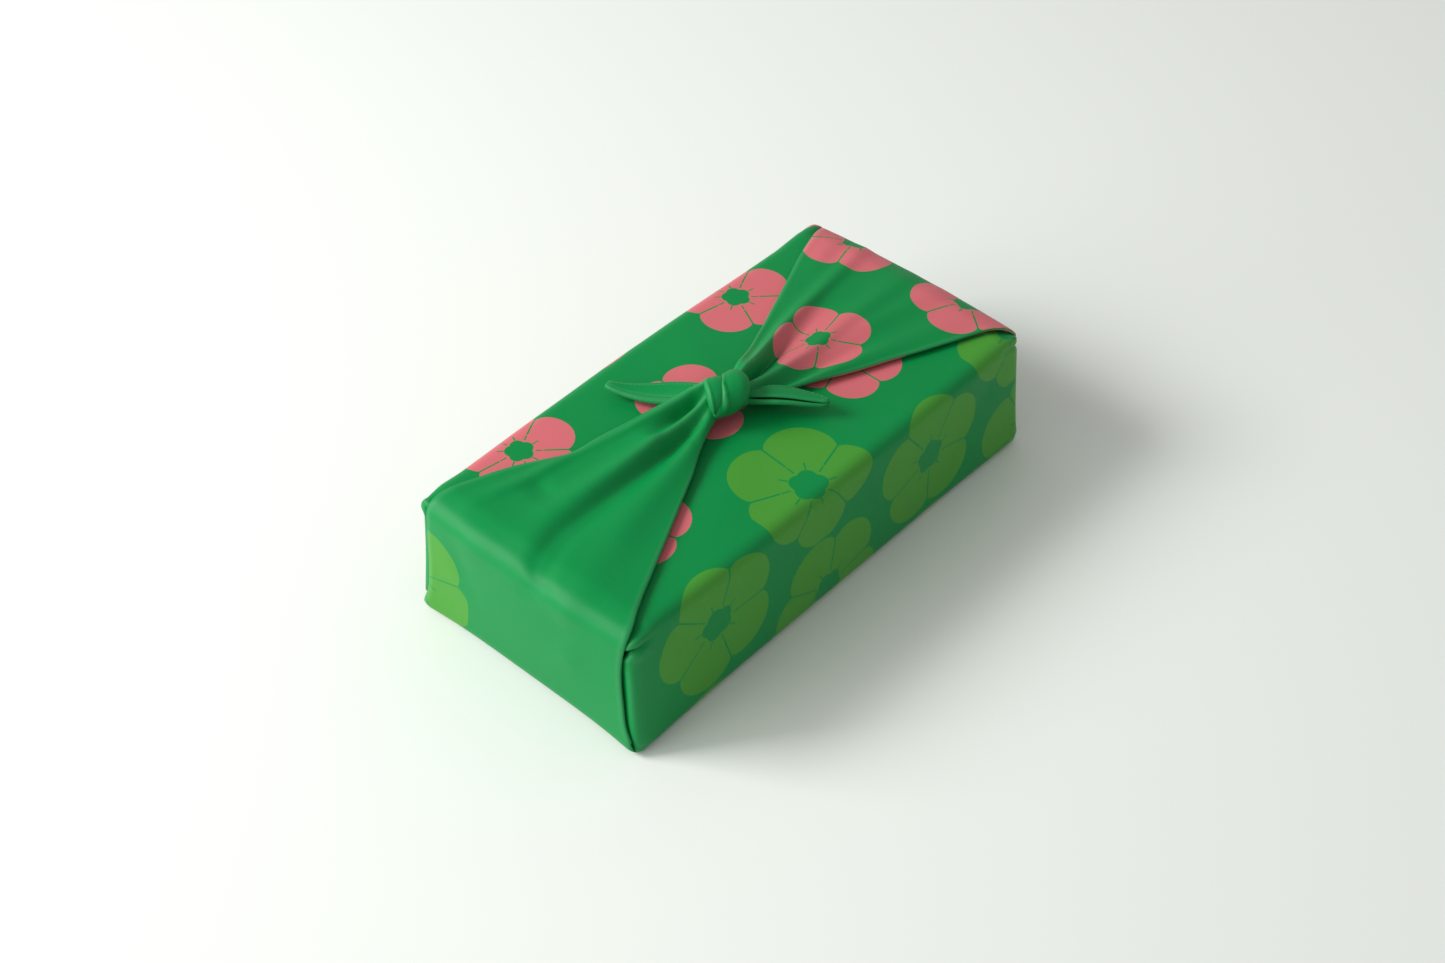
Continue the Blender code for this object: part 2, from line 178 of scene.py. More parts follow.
class ShaderGraph:
    """A material's nodes, built from Python expressions."""

    def __init__(self, name: str) -> None:
        """Start a material with an empty node tree."""
        self.material = bpy.data.materials.new(name)
        self.material.use_nodes = True
        self.tree = self.material.node_tree
        self.tree.nodes.clear()

    def node(
        self, kind: str, settings: dict[str, Any] | None = None, inputs: Inputs | None = None,
    ) -> bpy.types.Node:
        """Add one node.

        Args:
            kind: The node's type.
            settings: Its properties, set first.
            inputs: Values or signals for its sockets, by name or number.

        Returns:
            The node.
        """
        made = self.tree.nodes.new(kind)
        for key, value in (settings or {}).items():
            setattr(made, key, value)
        for key, value in (inputs or {}).items():
            if isinstance(value, Signal):
                self.tree.links.new(value.socket, made.inputs[key])
            else:
                made.inputs[key].default_value = value
        return made

    def signal(
        self, kind: str, output: str | int, settings: dict[str, Any] | None = None,
        inputs: Inputs | None = None,
    ) -> Signal:
        """Add one node and take one of its outputs.

        Args:
            kind: The node's type.
            output: The output's name or number.
            settings: The node's properties.
            inputs: Values or signals for its sockets.

        Returns:
            The output.
        """
        return Signal(self, self.node(kind, settings, inputs).outputs[output])

    def math(self, operation: str, *values: Any) -> Signal:
        """One Math node on up to three values."""
        return self.signal("ShaderNodeMath", 0, {"operation": operation}, dict(enumerate(values)))

    def ramp(self, value: Signal, low: Any, high: Any) -> Signal:
        """Ease a value from 0 at low to 1 at high."""
        inputs: Inputs = {"Value": value, "From Min": low, "From Max": high}
        return self.signal("ShaderNodeMapRange", 0, {"interpolation_type": "SMOOTHSTEP"}, inputs)

    def blend(self, share: Any, first: Any, second: Any) -> Signal:
        """Mix two colours."""
        return self.signal("ShaderNodeMix", 2, {"data_type": "RGBA"}, {0: share, 6: first, 7: second})

    def vector(self, x: Any, y: Any, z: Any = 0.0) -> Signal:
        """A vector of three numbers."""
        return self.signal("ShaderNodeCombineXYZ", 0, None, {0: x, 1: y, 2: z})

    def surface(self, inputs: Inputs) -> bpy.types.Material:
        """End the graph in one Principled shader.

        Args:
            inputs: Values or signals for the shader's sockets.

        Returns:
            The finished material.
        """
        shader = self.signal("ShaderNodeBsdfPrincipled", 0, None, inputs)
        self.node("ShaderNodeOutputMaterial", None, {"Surface": shader})
        return self.material


# Finishes


@dataclass(frozen=True)
class BlossomPrint:
    """A traditional repeat of plum blossoms, on the flat cloth's own coordinates."""

    cell: float = 0.078
    start_u: float = 0.641
    start_v: float = 0.5
    pink_radius: float = 0.029
    green_radius: float = 0.0385
    ground: tuple[float, float, float, float] = (0.0, 0.225, 0.050, 1.0)
    light: tuple[float, float, float, float] = (0.058, 0.285, 0.030, 1.0)
    pink: tuple[float, float, float, float] = (0.590, 0.135, 0.155, 1.0)

    def colour(self, graph: ShaderGraph, u: Signal, v: Signal) -> Signal:
        """The print's colour.

        Args:
            graph: The material's graph.
            u: Distance along the pack's diagonal of the cloth.
            v: Distance across it.

        Returns:
            The colour at that place of the flat cloth.
        """
        along = u / self.cell + self.start_u
        column = graph.math("FLOOR", along)
        drop = graph.math("FLOORED_MODULO", column, 2.0) * 0.5
        across = v / self.cell + self.start_v + drop
        row = graph.math("FLOOR", across)
        cell_place = graph.vector(column, row)
        chance = graph.node("ShaderNodeTexWhiteNoise", {"noise_dimensions": "2D"}, {"Vector": cell_place})
        pick = Signal(graph, chance.outputs["Value"])
        spare = graph.node("ShaderNodeSeparateColor", None,
            {"Color": Signal(graph, chance.outputs["Color"])})
        shift_u, shift_v, turn = (Signal(graph, spare.outputs[i]) for i in range(3))
        centre_u = (column + 0.5 - self.start_u + (shift_u - 0.5) * 0.10) * self.cell
        centre_v = (row + 0.5 - self.start_v - drop + (shift_v - 0.5) * 0.10) * self.cell
        x, y = u - centre_u, v - centre_v
        on_right = centre_u > 0.19
        on_back = (centre_v + (pick - 0.5) * 0.09) < -0.205
        is_pink = graph.math("MAXIMUM", on_right, on_back)
        on_left = centre_u < -0.150
        bare = graph.math("MAXIMUM", on_left * (centre_v < 0.055), abs(centre_u) > 0.318)
        radius = self.green_radius + is_pink * (self.pink_radius - self.green_radius)
        reach = graph.math("SQRT", x * x + y * y)
        angle = graph.math("ARCTAN2", y, x) + turn * 6.283
        wave = abs(graph.math("COSINE", angle * 2.5))
        outline = radius * (0.76 + (wave ** 0.6) * 0.24)
        petals = graph.ramp(outline - reach, -0.00012, 0.00012)
        core = graph.ramp(reach - radius * (0.21 + wave * 0.045), -0.00012, 0.00012)
        groove = abs(reach * wave * 0.4)
        past_core = reach > radius * 0.40
        slit = 1.0 - (1.0 - graph.ramp(groove, 0.00035, 0.0006)) * past_core
        spokes = abs(graph.math("SINE", angle * 5.0)) * reach * 0.2
        in_ring = (reach > radius * 0.26) * (reach < radius * 0.38)
        stamens = 1.0 - (1.0 - graph.ramp(spokes, 0.0003, 0.0005)) * in_ring
        share = petals * core * slit * stamens * (1.0 - bare)
        motif = graph.blend(is_pink, self.light, self.pink)
        return graph.blend(share, self.ground, motif)


@dataclass(frozen=True)
class PrintedCloth:
    """Smooth satin-faced cotton: print, fine weave, soft mottling, fold crests made paler (partly wear,
    partly painted highlight) and painted shade in the fold hollows.
    """

    pattern: BlossomPrint = BlossomPrint()
    thread_pitch: float = 0.00045
    slubs_along: float = 90.0
    slubs_across: float = 2400.0
    # Colour for the paler fold crests, partly wear and partly painted highlight, and for random paler
    # patches.
    pale_tone_wear_and_highlight: tuple[float, float, float, float] = (0.30, 0.62, 0.42, 1.0)
    # Colour of the painted shade in fold hollows, and of random darker patches.
    dark_tone_and_crease_shade: tuple[float, float, float, float] = (0.004, 0.070, 0.018, 1.0)
    roughness: float = 0.42
    sheen: float = 0.01

    def material(self) -> bpy.types.Material:
        """Build the cloth's material on its flat coordinates."""
        graph = ShaderGraph("printed_cloth")
        flat = graph.signal("ShaderNodeUVMap", "UV", {"uv_map": "flat_cloth"})
        axes = graph.node("ShaderNodeSeparateXYZ", None, {0: flat})
        u, v = Signal(graph, axes.outputs[0]), Signal(graph, axes.outputs[1])
        bend_level = graph.signal("ShaderNodeAttribute", "Fac", {"attribute_name": "fold_bend"})
        printed = self.pattern.colour(graph, u, v)
        cloudy = graph.signal("ShaderNodeTexNoise", 0, None, {"Vector": flat, "Scale": 34.0, "Detail": 3.0})
        along, across = self.slubs_along, self.slubs_across
        slub_u, slub_v = (
            graph.signal("ShaderNodeTexNoise", 0, None, {"Vector": place, "Scale": 1.0, "Detail": 1.0})
            for place in (graph.vector(u * along, v * across), graph.vector(u * across, v * along))
        )
        turns = 6.2832 / self.thread_pitch
        warp = graph.math("SINE", u * turns)
        weft = graph.math("SINE", v * turns)
        thread = warp * weft
        # Fold crests are painted paler, partly as rubbed wear and partly as painted highlight; the noise
        # tone adds random lighter and darker patches.
        crest = graph.ramp(bend_level, 0.02, 0.5)
        # Painted shade: fold hollows are darkened where shade falls in the creases.
        crease_shade = graph.ramp(0.0 - bend_level, 0.02, 0.6)
        tone = (cloudy - 0.5) * 0.10 + (slub_u + slub_v - 1.0) * 0.16 + thread * 0.02
        crest_wear_highlight_and_tone = crest * 0.05 + graph.ramp(tone, 0.0, 0.4) * 0.25
        crease_shade_and_tone = crease_shade * 0.22 + graph.ramp(0.0 - tone, 0.0, 0.4) * 0.30
        lighter = graph.blend(crest_wear_highlight_and_tone, printed, self.pale_tone_wear_and_highlight)
        colour = graph.blend(crease_shade_and_tone, lighter, self.dark_tone_and_crease_shade)
        rough = self.roughness + (slub_u - 0.5) * 0.16 + (cloudy - 0.5) * 0.08 - crest * 0.05
        height = thread * 0.5 + (slub_u + slub_v) * 1.1
        relief: Inputs = {"Strength": 0.22, "Distance": 0.00016, "Height": height}
        bump = graph.signal("ShaderNodeBump", "Normal", None, relief)
        return graph.surface({
            "Base Color": colour, "Roughness": rough, "Normal": bump, "Metallic": 0.0,
            "Sheen Weight": self.sheen, "Sheen Roughness": 0.45, "Sheen Tint": (0.45, 1.0, 0.65, 1.0),
            "Specular IOR Level": 0.18, "IOR": 1.46,
        })


@dataclass(frozen=True)
class Thread:
    """Fine sewing thread in the ground's green."""

    def material(self) -> bpy.types.Material:
        """Build the thread's material on Object coordinates."""
        graph = ShaderGraph("green_thread")
        place = graph.signal("ShaderNodeTexCoord", "Object")
        twist = graph.signal("ShaderNodeTexNoise", 0, None,
            {"Vector": place, "Scale": 5200.0, "Detail": 1.0})
        colour = graph.blend(twist, (0.022, 0.230, 0.070, 1.0), (0.060, 0.370, 0.140, 1.0))
        relief: Inputs = {"Strength": 0.3, "Distance": 0.00005, "Height": twist}
        bump = graph.signal("ShaderNodeBump", "Normal", None, relief)
        rough = 0.42 + twist * 0.1
        return graph.surface({"Base Color": colour, "Roughness": rough, "Normal": bump,
            "Sheen Weight": 0.2})


@dataclass(frozen=True)
class PaleFloor:
    """A plain matt floor."""

    def material(self) -> bpy.types.Material:
        """Build the floor's material."""
        graph = ShaderGraph("pale_floor")
        pale_grey = (0.80, 0.83, 0.79, 1.0)
        return graph.surface({"Base Color": pale_grey, "Roughness": 0.75, "Specular IOR Level": 0.2})


# The pack and the cloth round it


@dataclass(frozen=True)
class Pack:
    """The rounded shape that the cloth is folded round."""

    length: float = 0.290
    depth: float = 0.140
    height: float = 0.075
    edge_radius: float = 0.009
    bulge: float = 0.0012
    flare: float = 0.0026
    squareness: float = 3.0
    top_squareness: float = 2.6
    crown: float = 0.0026
    edge_parts: int = 5

    @property
    def half(self) -> Array:
        """Half the length, depth and height."""
        return np.array((self.length, self.depth, self.height)) / 2

    @property
    def round_steps(self) -> Array:
        """Distances from a sharp edge of the points that lie on the rounded one."""
        angles = np.radians(45.0) * (1 - np.arange(self.edge_parts + 1) / self.edge_parts)
        return self.edge_radius * (1 - np.tan(angles))

    def outward(self, sharp: Array) -> tuple[Array, Array]:
        """The rounded pack's centre lines and directions under points of the sharp-edged box.

        Args:
            sharp: Points on the sharp-edged box.

        Returns:
            The points from which the rounding starts, and the unit directions outward.
        """
        middle = np.array((0.0, 0.0, self.height / 2))
        centred = sharp - middle
        limit = self.half - self.edge_radius
        core = np.clip(centred, -limit, limit)
        away = centred - core
        away /= np.maximum(np.linalg.norm(away, axis=-1, keepdims=True), 1e-9)
        return core + middle, away

    def surface(self, sharp: Array, inside: Array | float) -> Array:
        """Put points of the sharp-edged box on the rounded pack, whose lower edges are tighter.

        Args:
            sharp: Points on the sharp-edged box.
            inside: How far inside the rounded shape each lies.

        Returns:
            The points.
        """
        core, away = self.outward(sharp)
        power, top_power = self.squareness, self.top_squareness
        level = (np.abs(away[..., 0]) ** power + np.abs(away[..., 1]) ** power) ** (1 / power)
        up = np.abs(away[..., 2])
        tight = (level**power + up**power) ** (1 / power)
        round_top = (level**top_power + up**top_power) ** (1 / top_power)
        size = np.where(away[..., 2] > 0, round_top, tight)
        reach = self.edge_radius / np.maximum(size, 1e-9) - np.broadcast_to(np.asarray(inside),
            sharp.shape[:-1])
        return core + away * reach[..., None]

    def softened(self, points: Array) -> Array:
        """Let the walls and the top swell a little, and the walls lean out, most at the bottom corners."""
        u, v = points[:, 0] / self.half[0], points[:, 1] / self.half[1]
        w = points[:, 2] / self.height
        wall = self.bulge * np.clip(4 * w * (1 - w), 0, None)
        clear_u, clear_v = np.clip(1 - u * u, 0, None), np.clip(1 - v * v, 0, None)
        up = self.bulge * smooth_step(0.2, 1.0, w) * clear_u * clear_v
        lean = self.flare * np.clip(1 - w, 0, 1) ** 1.3
        crown = self.crown * np.clip(w, 0, 1) ** 2
        out_u = (wall + crown) * u**3 * clear_v + lean * u**3 * (0.35 + 1.3 * v**4)
        out_v = (wall + crown) * v**3 * clear_u + lean * v**3 * (1.0 + u**4)
        return points + np.stack((out_u, out_v, up), axis=1)

    def stations(
        self, start: float, end: float, cell: float, round_start: bool = True, round_end: bool = True,
    ) -> list[float]:
        """Places from edge to edge, close together on each rounded one.

        Args:
            start: The first place.
            end: The last place.
            cell: The widest gap between the others.
            round_start: Whether there is a rounded edge at the start.
            round_end: Whether there is one at the end.

        Returns:
            The places.
        """
        step = 1 if end > start else -1
        first = [start + step * s for s in self.round_steps] if round_start else [start]
        last = [end - step * s for s in reversed(self.round_steps)] if round_end else [end]
        count = max(1, int(np.ceil(abs(last[0] - first[-1]) / cell)))
        middle = list(np.linspace(first[-1], last[0], count + 1)[1:-1])
        return first + middle + last


@dataclass
class ClothBuilder:
    """Collects the cloth's stretches as grids and makes them one mesh."""

    points: list[Array] = field(default_factory=list)
    flats: list[Array] = field(default_factory=list)
    faces: list[Array] = field(default_factory=list)
    count: int = 0

    def add(self, points: Array, flat: Array, kept: Array | None = None, flipped: bool = False) -> None:
        """Add one grid.

        Args:
            points: Rows of columns of points.
            flat: Where each lies on the flat cloth.
            kept: Which cells are cloth; all of them if it isn't given.
            flipped: Whether its cells face the other way.
        """
        rows, columns = points.shape[:2]
        index = np.arange(rows * columns).reshape(rows, columns) + self.count
        quads = np.stack((index[:-1, :-1], index[:-1, 1:], index[1:, 1:], index[1:, :-1]), axis=-1)
        quads = quads[kept] if kept is not None else quads.reshape(-1, 4)
        self.faces.append(quads[:, ::-1] if flipped else quads)
        self.points.append(points.reshape(-1, 3))
        self.flats.append(flat.reshape(-1, 2))
        self.count += rows * columns

    def mesh(self, name: str) -> bpy.types.Mesh:
        """Weld the grids where they meet, and store the flat coordinates and how sharply the folds bend.

        Args:
            name: The mesh's name.

        Returns:
            The mesh, an open surface.
        """
        data = bpy.data.meshes.new(name)
        data.from_pydata(np.concatenate(self.points).tolist(), [], np.concatenate(self.faces).tolist())
        store = data.attributes.new("flat_place", "FLOAT_VECTOR", "POINT")
        flats = np.concatenate(self.flats)
        store.data.foreach_set("vector", np.column_stack((flats, np.zeros(len(flats)))).ravel())
        mesh = bmesh.new()
        mesh.from_mesh(data)
        bmesh.ops.delete(mesh, geom=[v for v in mesh.verts if not v.link_faces], context="VERTS")
        bmesh.ops.remove_doubles(mesh, verts=mesh.verts, dist=2e-6)
        bmesh.ops.recalc_face_normals(mesh, faces=mesh.faces)
        mesh.to_mesh(data)
        mesh.free()
        self._store_flat(data)
        self._store_fold_bend(data)
        data.shade_smooth()
        return data

    @staticmethod
    def _store_flat(data: bpy.types.Mesh) -> None:
        """Turn the points' flat places into a UV map in metres."""
        places = np.zeros(len(data.vertices) * 3, np.float32)
        data.attributes["flat_place"].data.foreach_get("vector", places)
        corners = np.zeros(len(data.loops), np.int32)
        data.loops.foreach_get("vertex_index", corners)
        layer = data.uv_layers.new(name="flat_cloth")
        layer.data.foreach_set("uv", places.reshape(-1, 3)[corners, :2].ravel())
        data.attributes.remove(data.attributes["flat_place"])

    @staticmethod
    def _store_fold_bend(data: bpy.types.Mesh) -> None:
        """Store how sharply the cloth is folded at each point: over 0 on crests, under 0 in hollows; the
        material uses it to paint crests paler (wear and painted highlight) and hollows darker (painted
        shade).
        """
        count = len(data.vertices)
        points = np.zeros(count * 3)
        data.vertices.foreach_get("co", points)
        points = points.reshape(-1, 3)
        normals = np.array([v.normal for v in data.vertices])
        edges = np.zeros(len(data.edges) * 2, np.int32)
        data.edges.foreach_get("vertices", edges)
        first, second = edges.reshape(-1, 2).T
        step = points[second] - points[first]
        span = (step**2).sum(axis=1)
        bend = (step * normals[first]).sum(axis=1) / span, -(step * normals[second]).sum(axis=1) / span
        total = np.bincount(first, bend[0], count) + np.bincount(second, bend[1], count)
        uses = np.bincount(first, minlength=count) + np.bincount(second, minlength=count)
        bend_level = -total / np.maximum(uses, 1) * 0.004
        for _ in range(2):
            around = np.bincount(first, bend_level[second], count) + np.bincount(second, bend_level[first], count)
            bend_level = 0.5 * bend_level + 0.5 * around / np.maximum(uses, 1)
        store = data.attributes.new("fold_bend", "FLOAT", "POINT")
        store.data.foreach_set("value", np.clip(bend_level, -1, 1).astype(np.float32))


@dataclass(frozen=True)
class FoldPath:
    """A soft ridge, or a trough where its height is negative, along a path.

    Each row of the path is a place on the cloth, the width to either side and the height there.
    """

    rows: tuple[tuple[float, float, float, float], ...]
    steeper: float = 1.0

    def height(self, along: Array, across: Array) -> Array:
        """How far the cloth stands proud of its plain shape.

        Args:
            along: Each point's place on the path's first scale.
            across: Each point's place on its second.

        Returns:
            The heights, in metres.
        """
        table = np.array(self.rows) * MM
        best = np.full(along.shape, np.inf)
        result = np.zeros(along.shape)
        for start, end in zip(table, table[1:]):
            run = end[:2] - start[:2]
            length = float(run @ run)
            off_along, off_across = along - start[0], across - start[1]
            share = np.clip((off_along * run[0] + off_across * run[1]) / length, 0.0, 1.0)
            side = np.sign(run[0] * off_across - run[1] * off_along)
            away = np.hypot(off_along - run[0] * share, off_across - run[1] * share)
            width = start[2] + (end[2] - start[2]) * share
            width = np.where(side < 0, width / self.steeper, width)
            ratio = away / width
            tall = start[3] + (end[3] - start[3]) * share
            result = np.where(ratio < best, tall * np.exp(-ratio * ratio), result)
            best = np.minimum(best, ratio)
        return result


@dataclass
class Strip:
    """The long strip: turned in at the back, over the top, down the front, under and up inside."""

    pack: Pack
    outer_depth: float = 0.0005
    turn_depth: float = 0.0020
    inner_depth: float = 0.0035
    step_under_flap: float = 0.0025
    step_start: float = 0.0165
    hidden_reach: float = 0.1355
    hem_height: float = 0.011
    top_turn_in: float = 0.060
    bottom_turn_in: float = 0.115
    ears: tuple[float, ...] = (0.0105, 0.012, 0.0135, 0.015, 0.017, 0.020, 0.024, 0.030, 0.037)
    ear_spread: float = 1.7
    half_diagonal: float = 0.4808
    fine_cell: float = 0.0016
    coarse_cell: float = 0.0050
    folds: tuple[FoldPath, ...] = (
        FoldPath(((-152, -137.0, 1.5, -4.4), (-144, -137.0, 1.5, -4.2), (-139, -137.6, 1.5, -2.4),
            (-130, -139.5, 2.4, -0.5), (-118, -141, 4.0, 0.0))),
        FoldPath(((-147, -133.0, 2.2, 1.0), (-139, -133.2, 2.6, 0.6), (-128, -134, 4.0, 0.0))),
        FoldPath(((-146, -142.6, 3.0, 1.5), (-136, -143.0, 4.0, 1.0), (-118, -144.0, 5.0, 0.0))),
        FoldPath(((-138, -146, 6, 0.0), (-118, -132, 8, -0.8), (-96, -108, 12, -0.6), (-70, -84, 16, 0.0))),
        FoldPath(((-150, -133, 3.0, 0.0), (-146, -120, 3.0, 0.7), (-146, -98, 4.0, 0.6),
            (-147, -76, 5.0, 0.0))),
        FoldPath(((150, -137.5, 1.6, -3.0), (141, -137.0, 1.5, -2.6), (133, -139.0, 1.6, -1.2),
            (124, -142.5, 2.0, 0.0))),
        FoldPath(((146, -143.5, 3.0, 1.1), (134, -144.5, 4.0, 0.7), (120, -145.5, 5.0, 0.0))),
        FoldPath(((136, -142, 6, 0.0), (112, -122, 9, -0.9), (84, -100, 13, -0.6), (56, -80, 15, 0.0))),
        FoldPath(((-149.8, -280, 1.7, -2.2), (-150.2, -286, 1.7, -3.2), (-150.4, -292, 1.9, -1.6),
            (-150.6, -299, 2.5, 0.0))),
        FoldPath(((-144.2, -278, 2.3, 1.8), (-144.6, -284, 2.4, 2.8), (-145.2, -290, 2.3, 1.8),
            (-146.0, -297, 3.0, 0.0))),
        FoldPath(((-140, -284, 4.0, 1.2), (-130, -285, 5.0, 0.7), (-118, -285, 6.0, 0.0))),
        FoldPath(((150, -294.0, 1.6, -3.0), (141, -293.0, 1.6, -2.6), (131, -291.5, 2.0, 0.0))),
        FoldPath(((147, -284, 3.4, 3.6), (141, -284, 4.0, 3.0), (132, -285, 6.0, 1.4),
            (112, -285, 7.0, 0.0))),
        FoldPath(((-20, -192, 9, 0.5), (-48, -176, 12, 0.6), (-84, -158, 12, 0.0))),
        FoldPath(((12, -196, 9, 0.6), (46, -180, 12, 0.7), (90, -160, 14, 0.0))),
        FoldPath(((4, -238, 9, 0.6), (22, -262, 12, 0.6), (44, -285, 12, 0.0))),
        FoldPath(((-34, -232, 9, 0.4), (-60, -256, 12, 0.6), (-84, -280, 12, 0.0))),
        FoldPath(((-60, -300, 12, 0.0), (-20, -320, 14, 0.7), (30, -342, 14, 0.0))),
        FoldPath(((70, -296, 12, 0.0), (95, -322, 14, -0.7), (112, -344, 14, 0.0))),
        FoldPath(((-20, -142, 12, 0.0), (10, -120, 14, -0.5), (48, -88, 16, 0.0))),
    )

    def rows(self) -> tuple[Array, list[Layer]]:
        """The section's places.

        Returns:
            Rows of y, z, depth and flat place, and what each row is.
        """
        pack, half_depth, high = self.pack, self.pack.depth / 2, self.pack.height
        fine = high - 0.020
        runs: tuple[tuple[str, list[float], float, Layer], ...] = (
            ("top", pack.stations(half_depth - self.top_turn_in, half_depth, 0.015, False, True),
                self.turn_depth, Layer.HIDDEN),
            ("back", pack.stations(high, self.hem_height, 0.020, True, False), self.turn_depth,
                Layer.HIDDEN),
            ("back", pack.stations(self.hem_height, fine, self.coarse_cell, False, False)[:-1]
                + pack.stations(fine, high, self.fine_cell, False, True), self.outer_depth, Layer.OUTER),
            ("top", pack.stations(half_depth, -half_depth, self.coarse_cell), self.outer_depth,
                Layer.OUTER),
            ("front", pack.stations(high, fine, self.fine_cell, True, False)[:-1]
                + pack.stations(fine, 0.0, self.coarse_cell, False, True), self.outer_depth, Layer.OUTER),
            ("bottom", pack.stations(-half_depth, half_depth, 0.006), self.outer_depth, Layer.BOTTOM),
            ("back", pack.stations(0.0, high, 0.012), self.inner_depth, Layer.INNER),
            ("top", pack.stations(half_depth, -half_depth, 0.018), self.inner_depth, Layer.HIDDEN),
            ("front", pack.stations(high, 0.0, 0.018), self.inner_depth, Layer.HIDDEN),
            ("bottom", pack.stations(-half_depth, self.bottom_turn_in - half_depth, 0.018, True, False),
                self.inner_depth, Layer.HIDDEN),
        )
        table: list[tuple[float, float, float, float]] = []
        kinds: list[Layer] = []
        travel = 0.0
        for face, places, depth, kind in runs:
            if kinds and kind is Layer.OUTER and kinds[-1] is Layer.HIDDEN:
                for row in self._hem_turn(travel):
                    table.append(row)
                    kinds.append(Layer.HIDDEN)
                kinds[-1] = Layer.OUTER
            before = places[0]
            for along in (places[1:] if kinds else places):
                travel += abs(along - before)
                before = along
                spots = {
                    "top": (along, high), "bottom": (along, 0.0),
                    "front": (-half_depth, along), "back": (half_depth, along),
                }
                y, z = spots[face]
                inside = depth
                if kind is Layer.INNER:
                    inside = self.outer_depth + (depth - self.outer_depth) * float(smooth_step(0,
                        pack.edge_radius, z))
                table.append((y, z, inside, travel))
                past_edge = kind is Layer.INNER and z > high - pack.edge_radius - 1e-6
                kinds.append(Layer.HIDDEN if past_edge else kind)
        rows = np.array(table)
        at_edge = (np.abs(rows[:, 1]) < 1e-9) & (np.abs(np.abs(rows[:, 0]) - half_depth) < 1e-9)
        low = rows[at_edge & (np.abs(rows[:, 2] - self.outer_depth) < 1e-9), 3]
        rows[:, 3] -= low.mean()
        return rows, kinds

    def _hem_turn(self, travel: float) -> list[tuple[float, float, float, float]]:
        """The half round by which the turned-in cloth comes out again at the back."""
        radius = (self.turn_depth - self.outer_depth) / 2
        turn = np.radians((30, 60, 90, 120, 150, 180))
        depth = self.outer_depth + radius * (1 + np.cos(turn))
        height = self.hem_height - radius * np.sin(turn)
        return [(self.pack.depth / 2, float(z), float(d), travel) for z, d in zip(height, depth)]

    def columns(self) -> Array:
        """The columns' places: x on the pack's box, and how far in over the short side."""
        pack = self.pack
        end, flat = pack.length / 2, pack.length / 2 - pack.edge_radius
        fine = 0.112
        middle = np.linspace(-fine, fine, int(2 * fine / self.coarse_cell) + 1)
        outer = list(np.linspace(fine, flat, int((flat - fine) / self.fine_cell) + 1)[1:])
        side = [(x, 0.0) for x in outer] + [(end - s, 0.0) for s in reversed(pack.round_steps[:-1])]
        side += [(end, float(s)) for s in (*pack.round_steps[1:], *self.ears)]
        left = [(-x, inset) for x, inset in reversed(side)]
        return np.array(left + [(float(x), 0.0) for x in middle] + side)

    def build(self, cloth: ClothBuilder) -> None:
        """Add the strip to the cloth."""
        rows, kinds = self.rows()
        columns = self.columns()
        pack = self.pack
        y, z, depth, flat_v = (rows[:, i][:, None] for i in range(4))
        x, inset = columns[:, 0][None], columns[:, 1][None]
        hidden = np.array([kind is Layer.HIDDEN for kind in kinds])[:, None]
        shown = np.array([kind is Layer.OUTER for kind in kinds])[:, None]
        spread = 1 + (self.ear_spread - 1) * smooth_step(0, 0.018, inset)
        shrink_y = 1 - inset * spread / pack.half[1]
        shrink_z = 1 - inset / pack.half[2]
        near_end = smooth_step(pack.half[0] - self.step_start, pack.half[0] - 0.0053, np.abs(x))
        box_z = pack.half[2] + (z - pack.half[2]) * shrink_z
        off_floor = smooth_step(0, 0.0053, box_z)
        narrowing = np.minimum(1.0, (self.half_diagonal - np.abs(flat_v)) / self.hidden_reach)
        sharp = np.stack(np.broadcast_arrays(
            x * np.where(hidden, narrowing, 1.0), y * shrink_y, box_z,
        ), axis=-1)
        flat_u = np.sign(x) * (np.abs(x) + inset)
        flat = np.stack(np.broadcast_arrays(flat_u, flat_v), axis=-1)
        relief = sum(fold.height(flat[..., 0], flat[..., 1]) for fold in self.folds)
        relief = relief + self._unevenness(flat[..., 0], flat[..., 1])
        covered = 1 - pack.outward(sharp)[1][..., 1] ** 2
        inside = depth + self.step_under_flap * near_end * off_floor * covered
        inside = inside - np.where(shown, relief * smooth_step(0, 0.012, z), 0.0)
        cloth.add(pack.surface(sharp, inside), flat, self._cells(rows, kinds, columns))

    @staticmethod
    def _unevenness(u: Array, v: Array) -> Array:
        """The slight waves of cloth that lies loosely on a pack."""
        broad = np.sin(u * 31 + v * 17 + 0.6) * np.sin(v * 43 - u * 9 + 1.9)
        narrow = np.sin(u * 74 - v * 52 + 2.2) * np.sin(v * 88 + u * 27)
        return 0.00028 * broad + 0.00010 * narrow

    def _cells(self, rows: Array, kinds: list[Layer], columns: Array) -> Array:
        """Which cells of the grid are cloth.

        Args:
            rows: The section's rows.
            kinds: What each row is.
            columns: The columns.

        Returns:
            Whether each cell is kept.
        """
        kept = np.zeros((len(rows) - 1, len(columns) - 1), bool)
        reach = np.maximum(np.abs(columns[:-1, 0]), np.abs(columns[1:, 0]))
        inset = np.maximum(columns[:-1, 1], columns[1:, 1])
        flat_reach = self.pack.half[0] - self.pack.edge_radius + 1e-6
        for i in range(len(rows) - 1):
            pair = {kinds[i], kinds[i + 1]}
            if Layer.HIDDEN in pair or max(rows[i, 1], rows[i + 1, 1]) == 0.0:
                kept[i] = reach < (self.hidden_reach if Layer.HIDDEN in pair else flat_reach) + 0.001
            elif Layer.INNER in pair:
                kept[i] = inset == 0
            else:
                kept[i] = True
        return kept


